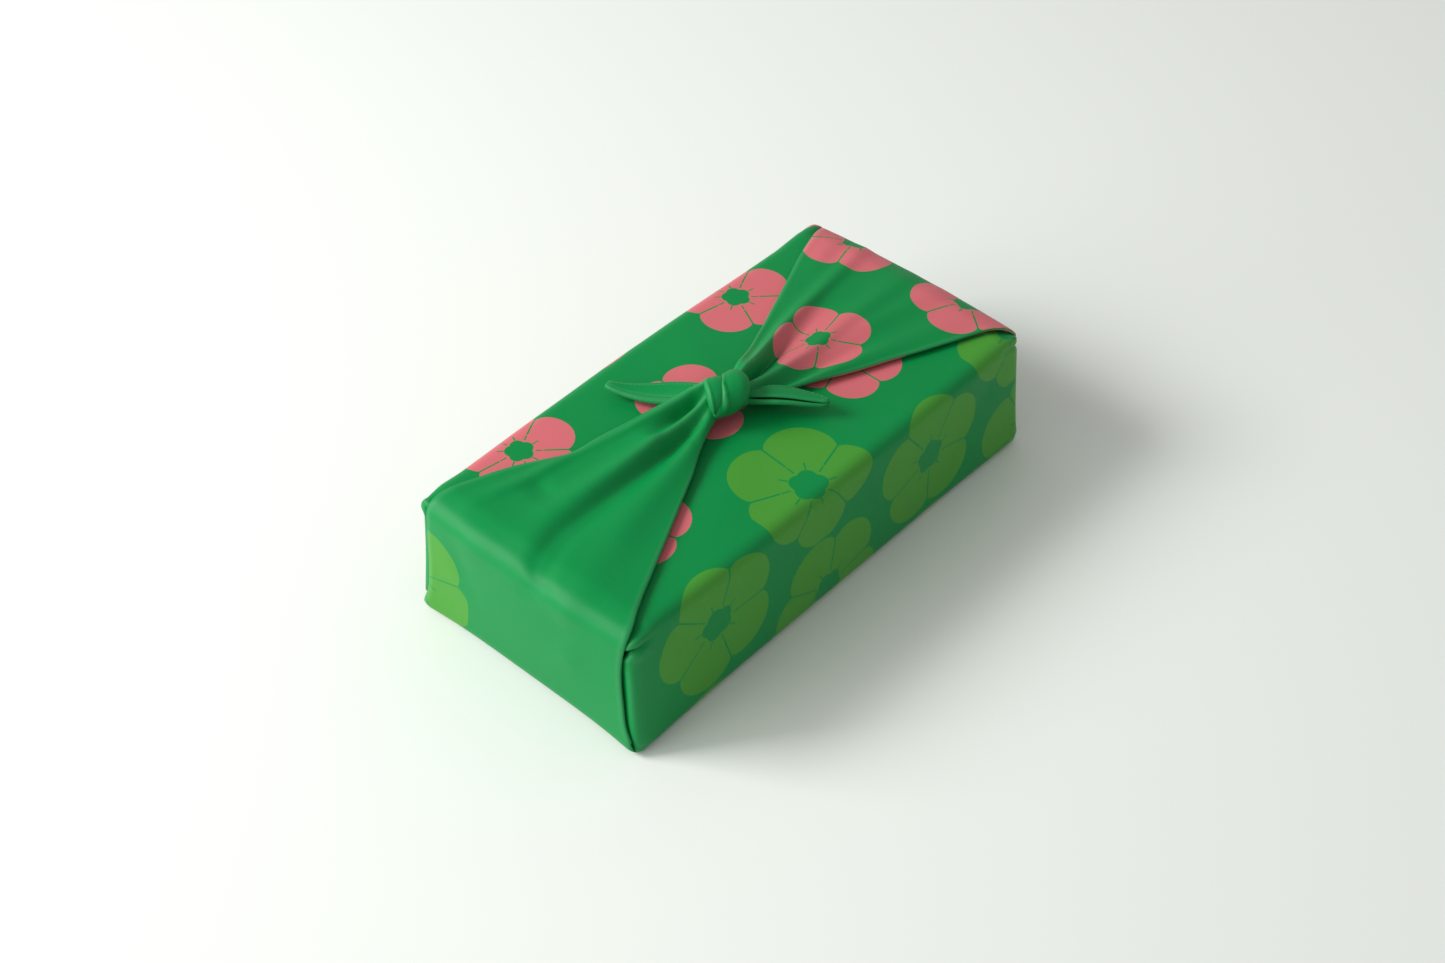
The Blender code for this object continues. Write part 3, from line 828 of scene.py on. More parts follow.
@dataclass
class TiedFlap:
    """One corner of the cloth: up the short side, over the top and into the knot.

    Its edges are folded under in a zigzag of two more layers.
    """

    pack: Pack
    side: Side
    edges: tuple[tuple[float, float, float], ...]
    folds: tuple[FoldPath, ...]
    slant: float
    depth: float = 0.0005
    layer_step: float = 0.00098
    lift: float = 0.0030
    crest: float = 0.0080
    crest_fade: float = 0.036
    edge_rise: float = 0.0085
    edge_fade: float = 0.021
    back_rise: float = 0.021
    back_fade: float = 0.0195
    back_full: float = 0.011
    deepest: float = 0.0010
    knot_middle: tuple[float, float] = (-0.003, -0.001)
    front_insets: tuple[tuple[float, float], ...] = (
        (0, 0), (3.5, 1.6), (7, 2.9), (16, 6.2), (31, 7.5), (59, 7.0), (70, 4.6), (75, 3.4),
    )
    back_insets: tuple[tuple[float, float], ...] = (
        (0, 0), (3.5, 1.6), (7, 2.9), (16, 6.2), (31, 7.5), (55, 7.4), (65, 7.6), (71, 7.2), (75, 6.2),
    )
    cell: float = 0.0023
    row_cell: float = 0.0022
    under_share: float = 0.74

    @property
    def top_start(self) -> float:
        """Where the flat of the top begins, from the middle."""
        return self.pack.half[0] - self.pack.edge_radius

    def lines(self) -> Array:
        """The flap's lines from the bottom to the knot: x on the box, z on the box, and their flat place."""
        pack = self.pack
        end, high = pack.half[0], pack.height
        table = [(end - s, 0.0, end - s) for s in reversed(pack.round_steps)]
        table += [(end, z, end + z) for z in pack.stations(0.0, high, self.row_cell)[1:]]
        table += [(end - s, high, end + high + s) for s in pack.round_steps[1:]]
        top = np.linspace(self.top_start, 0.003, int(self.top_start / self.row_cell * 1.25))[1:]
        table += [(float(x), high, end + high + end - float(x)) for x in top]
        return np.array(table)

    def surface(self, lines: Array, share: Array) -> Array:
        """The outer layer.

        Args:
            lines: Rows of x, z and flat place.
            share: Places across, from -1 at the front edge to 1 at the back one.

        Returns:
            The points, before the pack's bulge.
        """
        pack, sign = self.pack, self.side.value
        x, z = lines[:, 0][:, None], lines[:, 1][:, None]
        edges = spline(np.array(self.edges[::-1]) * MM, lines[:, 0])
        front, back = edges[:, 0][:, None], edges[:, 1][:, None]
        tables = (self.front_insets, self.back_insets)
        insets = [spline(np.array(table) * MM, lines[:, 1]) for table in tables]
        on_top = (x < pack.half[0] - 1e-9) & (z > pack.half[2])
        front = np.where(on_top, front, insets[0] - pack.half[1])
        back = np.where(on_top, back, pack.half[1] - insets[1])
        across = (front + back) / 2 + share * (back - front) / 2
        along = np.where(x >= pack.half[0] - 1e-9, pack.half[0] + pack.height - z, x)
        raised = sum(fold.height(along, across) for fold in self.folds)
        off_floor = smooth_step(0, pack.half[2], z)
        lift = self.lift * smooth_step(pack.half[0], pack.half[0] - 0.0165, x) * (z > pack.half[2])
        fade_edge = 1 - (share * share) ** 3
        crest = self.crest * np.exp(-x / self.crest_fade) * np.clip(1 - share * share, 0, 1) ** 0.75
        back_rise = self.back_rise * np.exp(-x / self.back_fade) * smooth_step(0.002, self.back_full, x)
        crest = crest + back_rise * smooth_step(-0.4, 1.0, share)
        rise = crest + self.edge_rise * np.exp(-x / self.edge_fade) + raised * (0.25 + 0.75 * fade_edge)
        over_top = z >= pack.height - 1e-9
        rise = np.where(over_top, rise, raised * off_floor * fade_edge)
        rise = soft_floor(rise, -self.deepest, 0.0005)
        sharp = np.stack(np.broadcast_arrays(np.maximum(x, 0.0), across, z), axis=-1)
        points = pack.surface(sharp, self.depth - rise - lift)
        to_knot = 1 - smooth_step(0, 0.1, x)
        swing = self.slant * across * (1 - smooth_step(0.008, 0.050, x)) * over_top
        points[..., 0] = sign * points[..., 0] + self.knot_middle[0] * to_knot + swing
        points[..., 1] += self.knot_middle[1] * to_knot
        return points

    def flat(self, lines: Array, share: Array) -> Array:
        """Where the flap's points lie on the flat cloth."""
        x = lines[:, 0][:, None]
        edges = spline(np.array(self.edges[::-1]) * MM, lines[:, 0])
        width = (edges[:, 1] - edges[:, 0])[:, None] / 2
        near = smooth_step(self.top_start, 0.02, x) * 0.45
        half = width * (1 - near) + 0.0625 * near
        return np.stack(np.broadcast_arrays(self.side.value * lines[:, 2][:, None], share * half), axis=-1)

    def build(self, cloth: ClothBuilder) -> None:
        """Add the flap and the layers folded under its edges to the cloth."""
        pack, flipped = self.pack, self.side is Side.RIGHT
        lines = self.lines()
        floor = lines[:, 1] == 0.0
        outer = np.array(pack.stations(-pack.half[1], pack.half[1], self.cell)) / pack.half[1]
        shares = np.broadcast_to(outer, (len(lines), len(outer)))
        points = self.surface(lines, shares)
        under_floor = np.stack(np.broadcast_arrays(lines[:, 0][:, None], shares * pack.half[1], 0.0),
            axis=-1)
        laid = pack.surface(under_floor[floor], self.depth) * (self.side.value, 1, 1)
        points[floor] = laid
        flat = self.flat(lines, shares)
        flat[floor, :, 1] = (shares * pack.half[1])[floor]
        cloth.add(points, flat, flipped=flipped)
        above = lines[lines[:, 1] > pack.edge_radius - 1e-6]
        for edge in (-1, 1):
            self._turn_under(cloth, above, edge)

    def _turn_under(self, cloth: ClothBuilder, lines: Array, edge: int) -> None:
        """Fold one edge under and back again.

        Args:
            cloth: The cloth to add to.
            lines: The lines above the bottom's rounded edge.
            edge: -1 for the front edge, 1 for the back one.
        """
        inner = 1 - self.under_share
        inward = np.concatenate(([1.0, 0.985], np.linspace(0.95, inner, 5)))
        steps = [(1.0, 0.0), (1.004, 0.2), (1.004, 0.8)]
        steps += [(share, 1.0) for share in inward]
        steps += [(inner - 0.004, 1.5)]
        steps += [(share, 2.0) for share in reversed(inward[2:])]
        share = np.array([s for s, _ in steps])[None] * edge
        level = np.array([u for _, u in steps])[None]
        shares = np.broadcast_to(share, (len(lines), share.shape[1]))
        width = 0.002
        here = self.surface(lines, shares)
        ahead = self.surface(lines, shares + width) - self.surface(lines, shares - width)
        upward = np.gradient(here, axis=0)
        normal = np.cross(ahead, upward)
        normal /= np.linalg.norm(normal, axis=-1, keepdims=True)
        centre = np.array((0.0, 0.0, self.pack.half[2]))
        normal *= np.sign(((here - centre) * normal).sum(axis=-1, keepdims=True))
        under = here - normal * (level * self.layer_step)[..., None]
        flat = self.flat(lines, shares)
        flat[..., 1] += edge * level * 0.06
        cloth.add(under, flat, flipped=(edge > 0) != (self.side is Side.RIGHT))


# The knot


@dataclass(frozen=True)
class Loop:
    """A band of the knot that goes round the gathered cloth.

    Each row is an angle round the knot, the band's place along the knot, its width, how far
    its middle stands off the knot's axis across and up, and its thickness. Each crease is its place
    across the band, its spread, its height, its drift with the angle, and the angle where it ends.
    """

    rows: tuple[tuple[float, float, float, float, float, float], ...]
    creases: tuple[tuple[float, float, float, float, float], ...]


@dataclass(frozen=True)
class Tail:
    """A loose end of the cloth, folded double and rolled along one edge.

    Each row is a share of its length, its middle, its width, its thickness and its roll in degrees.
    Each place of the section is across and up, as shares of half its width and of its thickness.
    """

    rows: tuple[tuple[float, float, float, float, float, float, float], ...]
    section: tuple[tuple[float, float], ...]
    rolled_edge: int


@dataclass
class SquareKnot:
    """The tied ends: two loops round the gathered cloth, and two loose tails."""

    pack: Pack
    middle: tuple[float, float] = (-0.003, -0.001)
    axis_height: float = 0.0118
    turn: float = -24.0
    main: Loop = Loop(
        rows=(
            (-100, -4.0, 10.0, 6.4, 5.8, 5.6),
            (-60, 1.0, 9.0, 6.6, 6.2, 5.6),
            (-20, 4.5, 8.6, 7.2, 6.8, 6.0),
            (20, 4.6, 8.4, 7.8, 7.2, 6.6),
            (48, 3.6, 9.0, 8.0, 7.5, 6.8),
            (80, 3.0, 12.4, 8.0, 7.6, 7.0),
            (106, 1.9, 14.6, 8.0, 7.6, 7.2),
            (140, -0.6, 16.4, 8.0, 7.4, 7.2),
            (168, -2.7, 15.8, 7.9, 7.2, 7.0),
            (190, -5.0, 13.4, 7.6, 6.8, 6.4),
            (210, -7.4, 10.4, 7.0, 6.2, 6.0),
            (260, -4.0, 10.0, 6.4, 5.8, 5.6),
        ),
        creases=(
            (-0.86, 0.10, 0.7, 0.0, 125), (-1.03, 0.11, 1.0, -0.536, 182), (-1.18, 0.12, -0.6, -0.44, 190),
            (0.30, 0.30, 0.25, -0.15, 220),
        ),
    )
    crescent: Loop = Loop(
        rows=(
            (-100, -2.0, 13.0, 6.5, 6.0, 6.0),
            (-60, -0.5, 15.0, 7.0, 6.6, 7.0),
            (-20, -1.0, 15.5, 7.4, 7.0, 7.4),
            (20, -3.4, 13.4, 7.4, 7.2, 7.0),
            (48, -5.6, 10.4, 7.2, 7.2, 6.6),
            (75, -6.4, 11.0, 7.2, 7.2, 6.6),
            (100, -7.2, 10.8, 7.2, 7.1, 6.4),
            (130, -8.2, 10.0, 7.2, 6.9, 6.2),
            (165, -8.9, 8.2, 6.9, 6.6, 5.8),
            (200, -8.4, 6.2, 6.4, 6.0, 5.2),
            (260, -2.0, 13.0, 6.5, 6.0, 6.0),
        ),
        creases=((-0.80, 0.12, 0.7, 0.0, 230),),
    )
    left_tail: Tail = Tail(
        rows=(
            (0.00, -3.0, 3.0, 10.0, 8.0, 5.0, 12.0),
            (0.14, -6.5, 13.5, 8.2, 12.6, 4.4, 10.0),
            (0.32, -12.7, 25.5, 5.8, 14.6, 3.6, 8.0),
            (0.48, -17.4, 32.8, 4.8, 13.4, 3.1, 6.0),
            (0.62, -21.2, 38.8, 4.4, 11.4, 2.8, 4.0),
            (0.78, -25.2, 45.9, 4.4, 8.4, 2.6, 2.0),
            (0.90, -27.6, 50.8, 4.8, 6.2, 2.6, 0.0),
            (0.97, -28.5, 53.6, 5.1, 4.8, 2.4, 0.0),
            (1.00, -28.8, 54.8, 5.2, 3.6, 2.0, 0.0),
        ),
        section=(
            (-0.50, 0.16), (-0.40, 0.34), (-0.18, 0.44), (0.20, 0.50), (0.55, 0.48), (0.82, 0.38),
            (0.96, 0.18),
            (1.00, -0.05), (0.94, -0.28), (0.75, -0.42), (0.40, -0.50), (0.00, -0.52), (-0.40, -0.50),
            (-0.75, -0.44), (-0.94, -0.28), (-1.00, 0.00), (-0.97, 0.28), (-0.86, 0.48), (-0.70, 0.54),
            (-0.56, 0.44), (-0.50, 0.24),
        ),
        rolled_edge=-1,
    )
    right_tail: Tail = Tail(
        rows=(
            (0.00, 5.0, -2.0, 9.0, 7.0, 5.0, -10.0),
            (0.16, 10.0, -7.6, 9.2, 9.0, 4.6, -10.0),
            (0.34, 16.8, -13.6, 9.4, 14.2, 4.2, -12.0),
            (0.52, 22.2, -20.2, 8.8, 12.8, 4.0, -12.0),
            (0.70, 26.4, -26.6, 8.0, 9.8, 3.8, -10.0),
            (0.86, 29.6, -32.0, 7.5, 6.4, 3.4, -6.0),
            (0.96, 31.2, -35.2, 7.4, 3.6, 2.8, -2.0),
            (1.00, 31.8, -36.4, 7.4, 1.4, 1.8, 0.0),
        ),
        section=(
            (-0.70, 0.26), (-0.72, 0.40), (-0.60, 0.50), (-0.30, 0.56), (0.10, 0.58), (0.50, 0.52),
            (0.82, 0.38), (0.96, 0.16),
            (1.00, -0.05), (0.94, -0.28), (0.75, -0.42), (0.40, -0.50), (0.00, -0.54), (-0.40, -0.56),
            (-0.75, -0.54), (-0.96, -0.44), (-1.06, -0.22), (-1.04, 0.00), (-0.95, 0.08), (-0.84, 0.02),
            (-0.66, -0.12), (-0.40, -0.18),
        ),
        rolled_edge=1,
    )

    @property
    def centre(self) -> Array:
        """The middle of the knot's foot on the pack's top."""
        return np.array((*self.middle, self.pack.height + self.pack.bulge))

    def _turned(self, points: Array) -> Array:
        """Turn points with the knot, and put them on the pack."""
        angle = np.radians(self.turn)
        x = points[..., 0] * np.cos(angle) - points[..., 1] * np.sin(angle)
        y = points[..., 0] * np.sin(angle) + points[..., 1] * np.cos(angle)
        return np.stack((x, y, points[..., 2]), axis=-1) + self.centre

    def loop(self, cloth: ClothBuilder, shape: Loop, flat_start: float) -> None:
        """Add one loop, a band whose edges roll in.

        Args:
            cloth: The cloth to add to.
            shape: The loop's rows and creases.
            flat_start: Where it lies on the flat cloth.
        """
        angles = np.linspace(-100, 260, 81)
        table = np.array(shape.rows) * (1.0, MM, MM, MM, MM, MM)
        along, width, across, up, thick = (spline(table, angles)[:, i][:, None] for i in range(5))
        roll = np.radians(np.linspace(-152, 152, 33))[None]
        share = np.sin(roll) * (1 + 0.12 * np.cos(roll) ** 2)
        bow = np.sign(np.cos(roll)) * np.abs(np.cos(roll)) ** 0.75
        outward = thick / 2 * bow
        round_it = np.radians(angles)[:, None]
        for place, spread, height, drift, last in shape.creases:
            near = (share - place - drift * np.cos(round_it)) / spread
            ended = 1 - smooth_step(last - 30, last, angles[:, None])
            outward = outward + height * MM * np.exp(-near * near) * ended * (bow > 0)
        radius_y, radius_z = across + outward, up + outward
        points = np.stack(np.broadcast_arrays(
            along + share * width / 2, radius_y * np.cos(round_it),
            self.axis_height + radius_z * np.sin(round_it),
        ), axis=-1)
        flat_along = flat_start + round_it * 0.012
        flat = np.stack(np.broadcast_arrays(flat_along, share * width / 2), axis=-1)
        cloth.add(self._turned(points), flat)

    def tail_grid(self, tail: Tail, section: Array) -> Array:
        """The points of a tail.

        Args:
            tail: The tail's rows.
            section: Places round its section, across and up, from -1 to 1.

        Returns:
            One row of points for each place along it.
        """
        table = np.array(tail.rows) * (1.0, MM, MM, MM, MM, MM, 1.0)
        places = np.linspace(0, 1, 45)
        values = spline(table, places)
        centre, width, thick = values[:, :3], values[:, 3], values[:, 4]
        roll = np.radians(values[:, 5])
        along = np.gradient(centre, axis=0)
        along /= np.linalg.norm(along, axis=1, keepdims=True)
        wide = np.cross((0.0, 0.0, 1.0), along)
        wide /= np.linalg.norm(wide, axis=1, keepdims=True)
        wide *= tail.rolled_edge
        up = np.cross(along, wide)
        up *= np.sign(up[:, 2:3])
        leaned = wide * np.cos(roll)[:, None] + up * np.sin(roll)[:, None]
        raised = up * np.cos(roll)[:, None] - wide * np.sin(roll)[:, None]
        across = section[:, 0][None, :, None] * leaned[:, None] * (width / 2)[:, None, None]
        upward = section[:, 1][None, :, None] * raised[:, None] * thick[:, None, None]
        return centre[:, None] + across + upward + self.centre

    def tail(self, cloth: ClothBuilder, tail: Tail, flat_start: float) -> None:
        """Add one tail, an open sheet folded double.

        Args:
            cloth: The cloth to add to.
            tail: Its rows.
            flat_start: Where it lies on the flat cloth.
        """
        keys = np.column_stack((np.arange(len(tail.section)), np.array(tail.section)))
        section = spline(keys, np.linspace(0, len(keys) - 1, 40))
        points = self.tail_grid(tail, section)
        lengths = np.linspace(0, 0.055, len(points))[:, None]
        around = np.linspace(-0.02, 0.02, len(section))[None]
        flat = np.stack(np.broadcast_arrays(flat_start + lengths * np.sign(flat_start), around), axis=-1)
        cloth.add(points, flat)

    def stitch_lines(self) -> list[Array]:
        """The hem's stitch line on each tail, just above the cloth."""
        places = ((self.left_tail, 0.62, 0.56), (self.right_tail, 0.56, 0.62))
        return [self.tail_grid(tail, np.array(((across, up),)))[8:43, 0] for tail, across, up in places]

    def build(self, cloth: ClothBuilder) -> None:
        """Add the whole knot to the cloth."""
        self.loop(cloth, self.main, 0.385)
        self.loop(cloth, self.crescent, -0.385)
        self.tail(cloth, self.left_tail, -0.420)
        self.tail(cloth, self.right_tail, 0.420)


@dataclass(frozen=True)
class HemStitches:
    """The row of machine stitches that holds the narrow hem, seen on the two loose tails."""

    pitch: float = 0.0023
    length: float = 0.0017
    radius: float = 0.00014

    def tree(self, material: bpy.types.Material) -> bpy.types.NodeTree:
        """Build the nodes that lay stitches along a line.

        Args:
            material: The thread's material.

        Returns:
            The node group, with the stitch's sizes as its inputs.
        """
        tree = bpy.data.node_groups.new("stitch_row", "GeometryNodeTree")
        tree.interface.new_socket("Line", in_out="INPUT", socket_type="NodeSocketGeometry")
        for name in ("Pitch", "Length", "Radius"):
            tree.interface.new_socket(name, in_out="INPUT", socket_type="NodeSocketFloat")
        tree.interface.new_socket("Stitches", in_out="OUTPUT", socket_type="NodeSocketGeometry")

        def node(kind: str, settings: dict[str, Any], inputs: Inputs) -> bpy.types.Node:
            """Add one node: set its properties, then its sockets' values or links."""
            made = tree.nodes.new(kind)
            for key, value in settings.items():
                setattr(made, key, value)
            for key, value in inputs.items():
                if isinstance(value, bpy.types.NodeSocket):
                    tree.links.new(value, made.inputs[key])
                else:
                    made.inputs[key].default_value = value
            return made

        sizes = node("NodeGroupInput", {}, {}).outputs
        curve = node("GeometryNodeMeshToCurve", {}, {"Mesh": sizes["Line"]})
        spaced = node("GeometryNodeResampleCurve", {"mode": "LENGTH"}, {
            "Curve": curve.outputs[0], "Length": sizes["Pitch"],
        })
        bead = node("GeometryNodeMeshUVSphere", {}, {"Segments": 8, "Rings": 6, "Radius": sizes["Radius"]})
        slim = node("ShaderNodeMath", {"operation": "DIVIDE"}, {0: sizes["Length"], 1: sizes["Radius"]})
        half = node("ShaderNodeMath", {"operation": "MULTIPLY"}, {0: slim.outputs[0], 1: 0.5})
        stretch = node("ShaderNodeCombineXYZ", {}, {0: 1.0, 1: 1.0, 2: half.outputs[0]})
        heading = node("GeometryNodeInputTangent", {}, {})
        turn = node("FunctionNodeAlignRotationToVector", {"axis": "Z"}, {"Vector": heading.outputs[0]})
        laid = node("GeometryNodeInstanceOnPoints", {}, {
            "Points": spaced.outputs[0], "Instance": bead.outputs["Mesh"],
            "Rotation": turn.outputs[0], "Scale": stretch.outputs[0],
        })
        real = node("GeometryNodeRealizeInstances", {}, {"Geometry": laid.outputs[0]})
        smooth = node("GeometryNodeSetShadeSmooth", {}, {"Geometry": real.outputs[0]})
        dressed = node("GeometryNodeSetMaterial", {}, {"Geometry": smooth.outputs[0], "Material": material})
        node("NodeGroupOutput", {}, {"Stitches": dressed.outputs[0]})
        return tree

    def build(self, lines: list[Array], finish: Thread) -> bpy.types.Object:
        """Build and dress the stitches.

        Args:
            lines: The lines that they follow.
            finish: The thread's finish.

        Returns:
            The piece.
        """
        data = bpy.data.meshes.new("stitch_lines")
        edges: list[tuple[int, int]] = []
        count = 0
        for line in lines:
            edges += [(count + i, count + i + 1) for i in range(len(line) - 1)]
            count += len(line)
        data.from_pydata(np.concatenate(lines).tolist(), edges, [])
        piece = bpy.data.objects.new("hem_stitches", data)
        bpy.context.scene.collection.objects.link(piece)
        row = piece.modifiers.new("stitch_row", "NODES")
        row.node_group = self.tree(finish.material())
        sizes = {"Pitch": self.pitch, "Length": self.length, "Radius": self.radius}
        for item in row.node_group.interface.items_tree:
            if item.name in sizes:
                row[item.identifier] = sizes[item.name]
        shaped = piece.evaluated_get(bpy.context.evaluated_depsgraph_get())
        piece.data = bpy.data.meshes.new_from_object(shaped)
        piece.modifiers.clear()
        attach(piece, "root")
        return piece


@dataclass
class Furoshiki:
    """The whole cloth as one thin sheet."""

    pack: Pack = field(default_factory=Pack)
    thickness: float = 0.0006
    side: float = 0.68

    def flaps(self) -> tuple[TiedFlap, TiedFlap]:
        """The left and the right flap with the folds that each shows."""
        left = TiedFlap(
            self.pack, Side.LEFT,
            edges=(
                (145, -66.6, 63.8), (140, -64.4, 62.8), (134, -61.4, 61.2), (126, -57.0, 58.8),
                (118, -52.8, 55.5), (108, -48.0, 51.5), (98, -43.0, 46.5), (88, -38.2, 40.5),
                (79, -33.8, 34.8), (60, -24.6, 31.2), (48, -18.9, 28.4), (38, -14.2, 25.0),
                (28, -9.8, 20.4), (20, -6.2, 16.0),
                (14, -4.0, 11.6), (8, -2.8, 8.0), (3, -2.4, 6.5),
            ),
            folds=(
                FoldPath(((14, 0.8, 2.4, 0.0), (21, 1.0, 3.0, -3.0), (29, 1.0, 3.6, -5.4),
                    (42, 0.4, 4.4, -5.8), (61, -0.2, 5.4, -4.6), (91, -0.2, 6.2, -3.4),
                          (117, -1.0, 6.6, -2.8), (133, -6.0, 6.0, -2.6), (144, -13, 5.0, -1.4),
                          (150, -15, 4.5, 0.0)), 1.0),
                FoldPath(((9, 6.0, 1.6, -2.0), (14, 7.8, 2.2, -6.0), (20, 9.4, 3.0, -8.4),
                    (28, 11.0, 4.0, -7.0), (36, 11.8, 4.8, -4.0), (46, 11.5, 6.0, 0.0)), 1.0),
                FoldPath(((10, 3.6, 2.6, 1.4), (26, 5.0, 4.2, 2.6), (44, 6.4, 5.6, 4.0),
                    (62, 7.0, 7.0, 4.4), (92, 8.6, 9.0, 3.8),
                          (112, 9.6, 11.0, 2.6), (134, 6.0, 12.0, 0.8), (148, 4.0, 12.0, 0.0)), 1.0),
                FoldPath(((12, 10.0, 2.6, 1.2), (26, 16.0, 3.4, 1.8), (38, 21.4, 3.8, 2.2),
                    (60, 28.0, 4.2, 2.0), (79, 33.0, 4.0, 2.0),
                          (102, 36.6, 4.4, 1.8), (120, 42.0, 5.0, 1.4), (138, 49.0, 6.0, 0.0)), 1.3),
                FoldPath(((36, -8.0, 4.0, 0.8), (62, -13.0, 7.0, 1.8), (96, -20.0, 10.0, 2.2),
                    (122, -26.0, 12.0, 1.2), (140, -30, 12.0, 0.0)), 1.0),
                FoldPath(((96, 25.0, 8.0, 0.0), (103, 27.0, 8.0, -1.3), (112, 28.0, 8.0, 0.0)), 1.0),
                FoldPath(((128, 22.0, 9.0, 0.4), (146, 30.0, 10.0, 1.0), (166, 34.0, 10.0, 0.0)), 1.0),
                FoldPath(((130, -34.0, 9.0, 0.4), (147, -30.0, 9.0, 1.3), (163, -26.0, 9.0, 0.0)), 1.0),
                FoldPath(((144, -14.0, 5.0, 0.0), (152, -8.0, 5.0, -0.8), (158, 2.0, 6.0, 0.0)), 1.0),
                FoldPath(((150, 48.0, 6.0, 0.0), (170, 40.0, 7.0, -0.8), (196, 30.0, 8.0, 0.0)), 1.0),
                FoldPath(((158, -40.0, 6.0, 0.0), (182, -30.0, 8.0, 0.7), (205, -16.0, 9.0, 0.0)), 1.0),
            ),
            slant=0.62,
        )
        right = TiedFlap(
            self.pack, Side.RIGHT,
            edges=(
                (145, -66.6, 61.5), (140, -62.4, 61.0), (134, -58.6, 59.4), (126, -55.0, 56.8),
                (110, -48.6, 51.0), (94, -42.0, 44.0), (78, -35.0, 37.0), (68, -31.0, 32.8),
                (56, -25.8, 27.4), (46, -21.0, 23.2), (39, -17.8, 20.2), (31, -13.8, 17.0),
                (22, -10.0, 13.6), (14, -8.6, 10.6),
                (8, -8.4, 9.2), (3, -8.0, 9.0),
            ),
            folds=(
                FoldPath(((10, 2.4, 2.2, 1.8), (20, 4.6, 2.8, 2.8), (40, 11.8, 3.6, 3.2),
                    (59, 18.0, 4.2, 3.0), (94, 24.0, 5.0, 2.2),
                          (125, 29.0, 6.0, 1.6), (152, 36.0, 7.0, 0.0)), 1.4),
                FoldPath(((10, -3.4, 2.4, 1.6), (22, -4.0, 3.2, 2.6), (40, -4.0, 4.2, 2.8),
                    (58, -4.0, 5.2, 2.4), (88, -1.6, 7.0, 1.8),
                          (121, -1.0, 8.0, 1.2), (146, 2.0, 9.0, 0.0)), 1.2),
                FoldPath(((8, 0.2, 1.5, -2.6), (20, 1.2, 2.0, -4.2), (36, 5.2, 3.0, -3.6),
                    (56, 10.0, 4.0, -2.2), (80, 13.0, 5.4, -0.9),
                          (100, 15.0, 6.0, 0.0)), 1.0),
                FoldPath(((12, 8.0, 2.6, 0.0), (22, 10.6, 3.0, -0.8), (36, 16.0, 3.6, -1.4),
                    (54, 22.0, 4.2, -1.2), (74, 28.0, 5.0, 0.0)), 1.0),
                FoldPath(((20, -9.0, 2.4, -2.0), (36, -12.0, 3.2, -2.2), (60, -16.0, 4.4, -1.4),
                    (90, -22.0, 6.0, 0.0)), 1.0),
                FoldPath(((28, -13.0, 3.0, 1.6), (38, -17.0, 3.6, 2.6), (56, -22.0, 4.6, 2.2),
                    (84, -31.0, 6.0, 1.4), (118, -41.0, 7.0, 0.6),
                          (134, -46.0, 8.0, 0.0)), 1.0),
                FoldPath(((60, -9.0, 5.0, 0.0), (92, -12.0, 6.0, 1.2), (128, -18.0, 7.0, 0.8),
                    (150, -22.0, 8.0, 0.0)), 1.0),
                FoldPath(((96, 36.0, 5.0, 0.0), (120, 44.0, 5.0, 0.9), (148, 52.0, 6.0, 0.0)), 1.0),
                FoldPath(((150, -30.0, 7.0, 0.0), (172, -20.0, 8.0, -0.9), (200, -6.0, 9.0, 0.0)), 1.0),
                FoldPath(((148, 12.0, 7.0, 0.0), (168, 20.0, 8.0, 0.9), (196, 26.0, 9.0, 0.0)), 1.0),
            ),
            slant=0.30,
            back_insets=(
                (0, 0), (3.5, 1.6), (7, 2.9), (16, 6.2), (31, 7.5), (55, 7.4), (65, 8.2), (71, 8.6),
                (75, 8.5),
            ),
            back_rise=0.0145,
            back_fade=0.030,
            back_full=0.019,
        )
        return left, right

    def build(self, finish: PrintedCloth) -> bpy.types.Object:
        """Build and dress the cloth.

        Args:
            finish: The cloth's finish.

        Returns:
            The piece.
        """
        cloth = ClothBuilder()
        Strip(self.pack).build(cloth)
        for flap in self.flaps():
            flap.build(cloth)
        cloth.points = [self.pack.softened(points) for points in cloth.points]
        SquareKnot(self.pack).build(cloth)
        data = cloth.mesh("tied_cloth")
        data.materials.append(finish.material())
        piece = bpy.data.objects.new("tied_cloth", data)
        bpy.context.scene.collection.objects.link(piece)
        wall = piece.modifiers.new("cloth_thickness", "SOLIDIFY")
        wall.thickness = self.thickness
        wall.offset = 0.0
        wall.use_even_offset = False
        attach(piece, "root")
        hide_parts("furoshiki_cloth")
        return piece


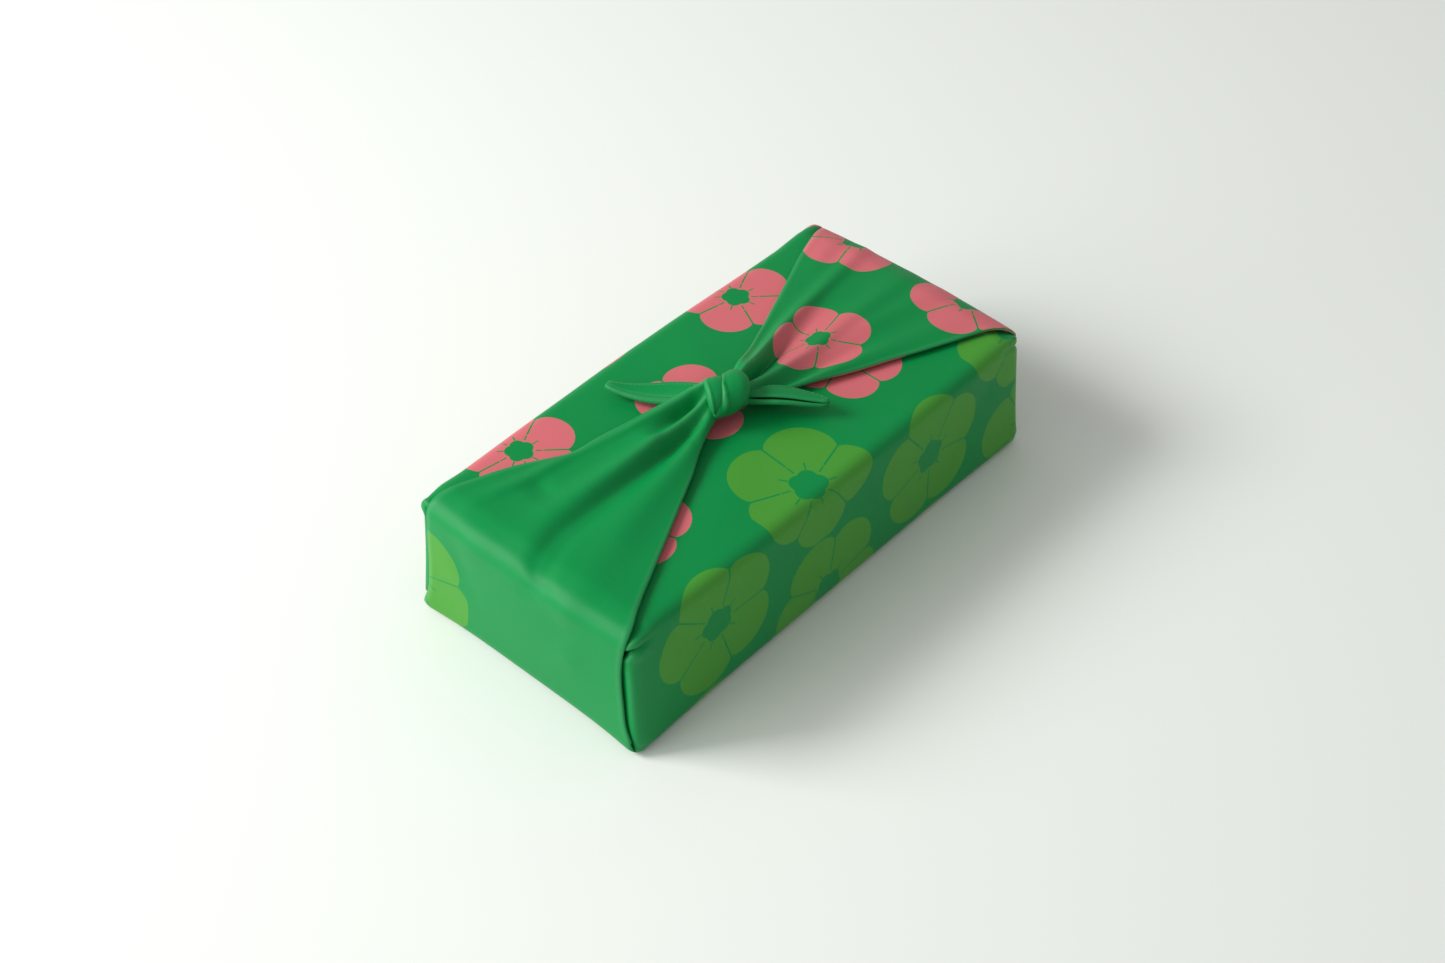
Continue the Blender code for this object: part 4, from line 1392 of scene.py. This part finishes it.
@dataclass
class Studio:
    """The floor, the light and the camera."""

    lens: float = 57.74
    place: tuple[float, float, float] = (-0.62783, -0.56021, 0.83606)
    right: tuple[float, float, float] = (0.66979, -0.74255, 0.0)
    down: tuple[float, float, float] = (-0.51472, -0.46419, -0.72083)
    forward: tuple[float, float, float] = (0.53520, 0.48285, -0.69312)

    def camera(self) -> None:
        """Set up the camera at the photograph's angle."""
        data = bpy.data.cameras.new("camera")
        data.lens = self.lens
        data.sensor_width = 36.0
        data.sensor_fit = "HORIZONTAL"
        data.clip_start = 0.02
        camera = bpy.data.objects.new("camera", data)
        up, back = -np.array(self.down), -np.array(self.forward)
        turn = Matrix((self.right, tuple(up), tuple(back))).transposed().to_4x4()
        turn.translation = self.place
        camera.matrix_world = turn
        bpy.context.scene.collection.objects.link(camera)
        bpy.context.scene.camera = camera

    def floor(self) -> None:
        """Lay a plain pale floor."""
        reach = 6.0
        data = bpy.data.meshes.new("floor")
        corners = [(-reach, -reach, 0), (reach, -reach, 0), (reach, reach, 0), (-reach, reach, 0)]
        data.from_pydata(corners, [], [(0, 1, 2, 3)])
        data.materials.append(PaleFloor().material())
        floor = bpy.data.objects.new("floor", data)
        bpy.context.scene.collection.objects.link(floor)

    def area_light(
        self, name: str, place: Place, target: Place, size: float, power: float, spread: float,
    ) -> None:
        """Add one soft light.

        Args:
            name: Its name.
            place: Where it stands.
            target: What it faces.
            size: The side of its square.
            power: Its power in watts.
            spread: The width of its beam in degrees.
        """
        data = bpy.data.lights.new(name, "AREA")
        data.shape = "SQUARE"
        data.size = size
        data.energy = power
        data.spread = np.radians(spread)
        light = bpy.data.objects.new(name, data)
        toward = Matrix.Translation(place).translation - Matrix.Translation(target).translation
        light.matrix_world = Matrix.Translation(place) @ toward.to_track_quat("Z", "Y").to_matrix().to_4x4()
        bpy.context.scene.collection.objects.link(light)

    def build(self) -> None:
        """Set up the whole studio."""
        self.camera()
        self.floor()
        self.area_light("window", (-1.35, 1.50, 1.42), (-0.05, 0.24, 0.0), 1.0, 20.0, 108.0)
        self.area_light("left_wall", (-1.85, 0.75, 0.80), (-0.10, 0.15, 0.03), 1.5, 6.0, 90.0)
        world = bpy.data.worlds.new("studio")
        bpy.context.scene.world = world
        world.use_nodes = True
        background = world.node_tree.nodes["Background"]
        background.inputs["Color"].default_value = (1.0, 1.0, 0.985, 1.0)
        background.inputs["Strength"].default_value = 0.47
        bpy.context.scene.view_settings.view_transform = "Standard"


def main() -> None:
    """Build the wrap, dress it and set up the studio."""
    logging.basicConfig(level=logging.INFO, format="%(name)s: %(message)s")
    wrap = Furoshiki()
    cloth = wrap.build(PrintedCloth())
    stitches = HemStitches().build(SquareKnot(wrap.pack).stitch_lines(), Thread())
    for piece in (cloth, stitches):
        LOG.info("%s: %d faces", piece.name, len(piece.data.polygons))
    Studio().build()
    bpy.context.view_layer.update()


if __name__ == "__main__":
    main()
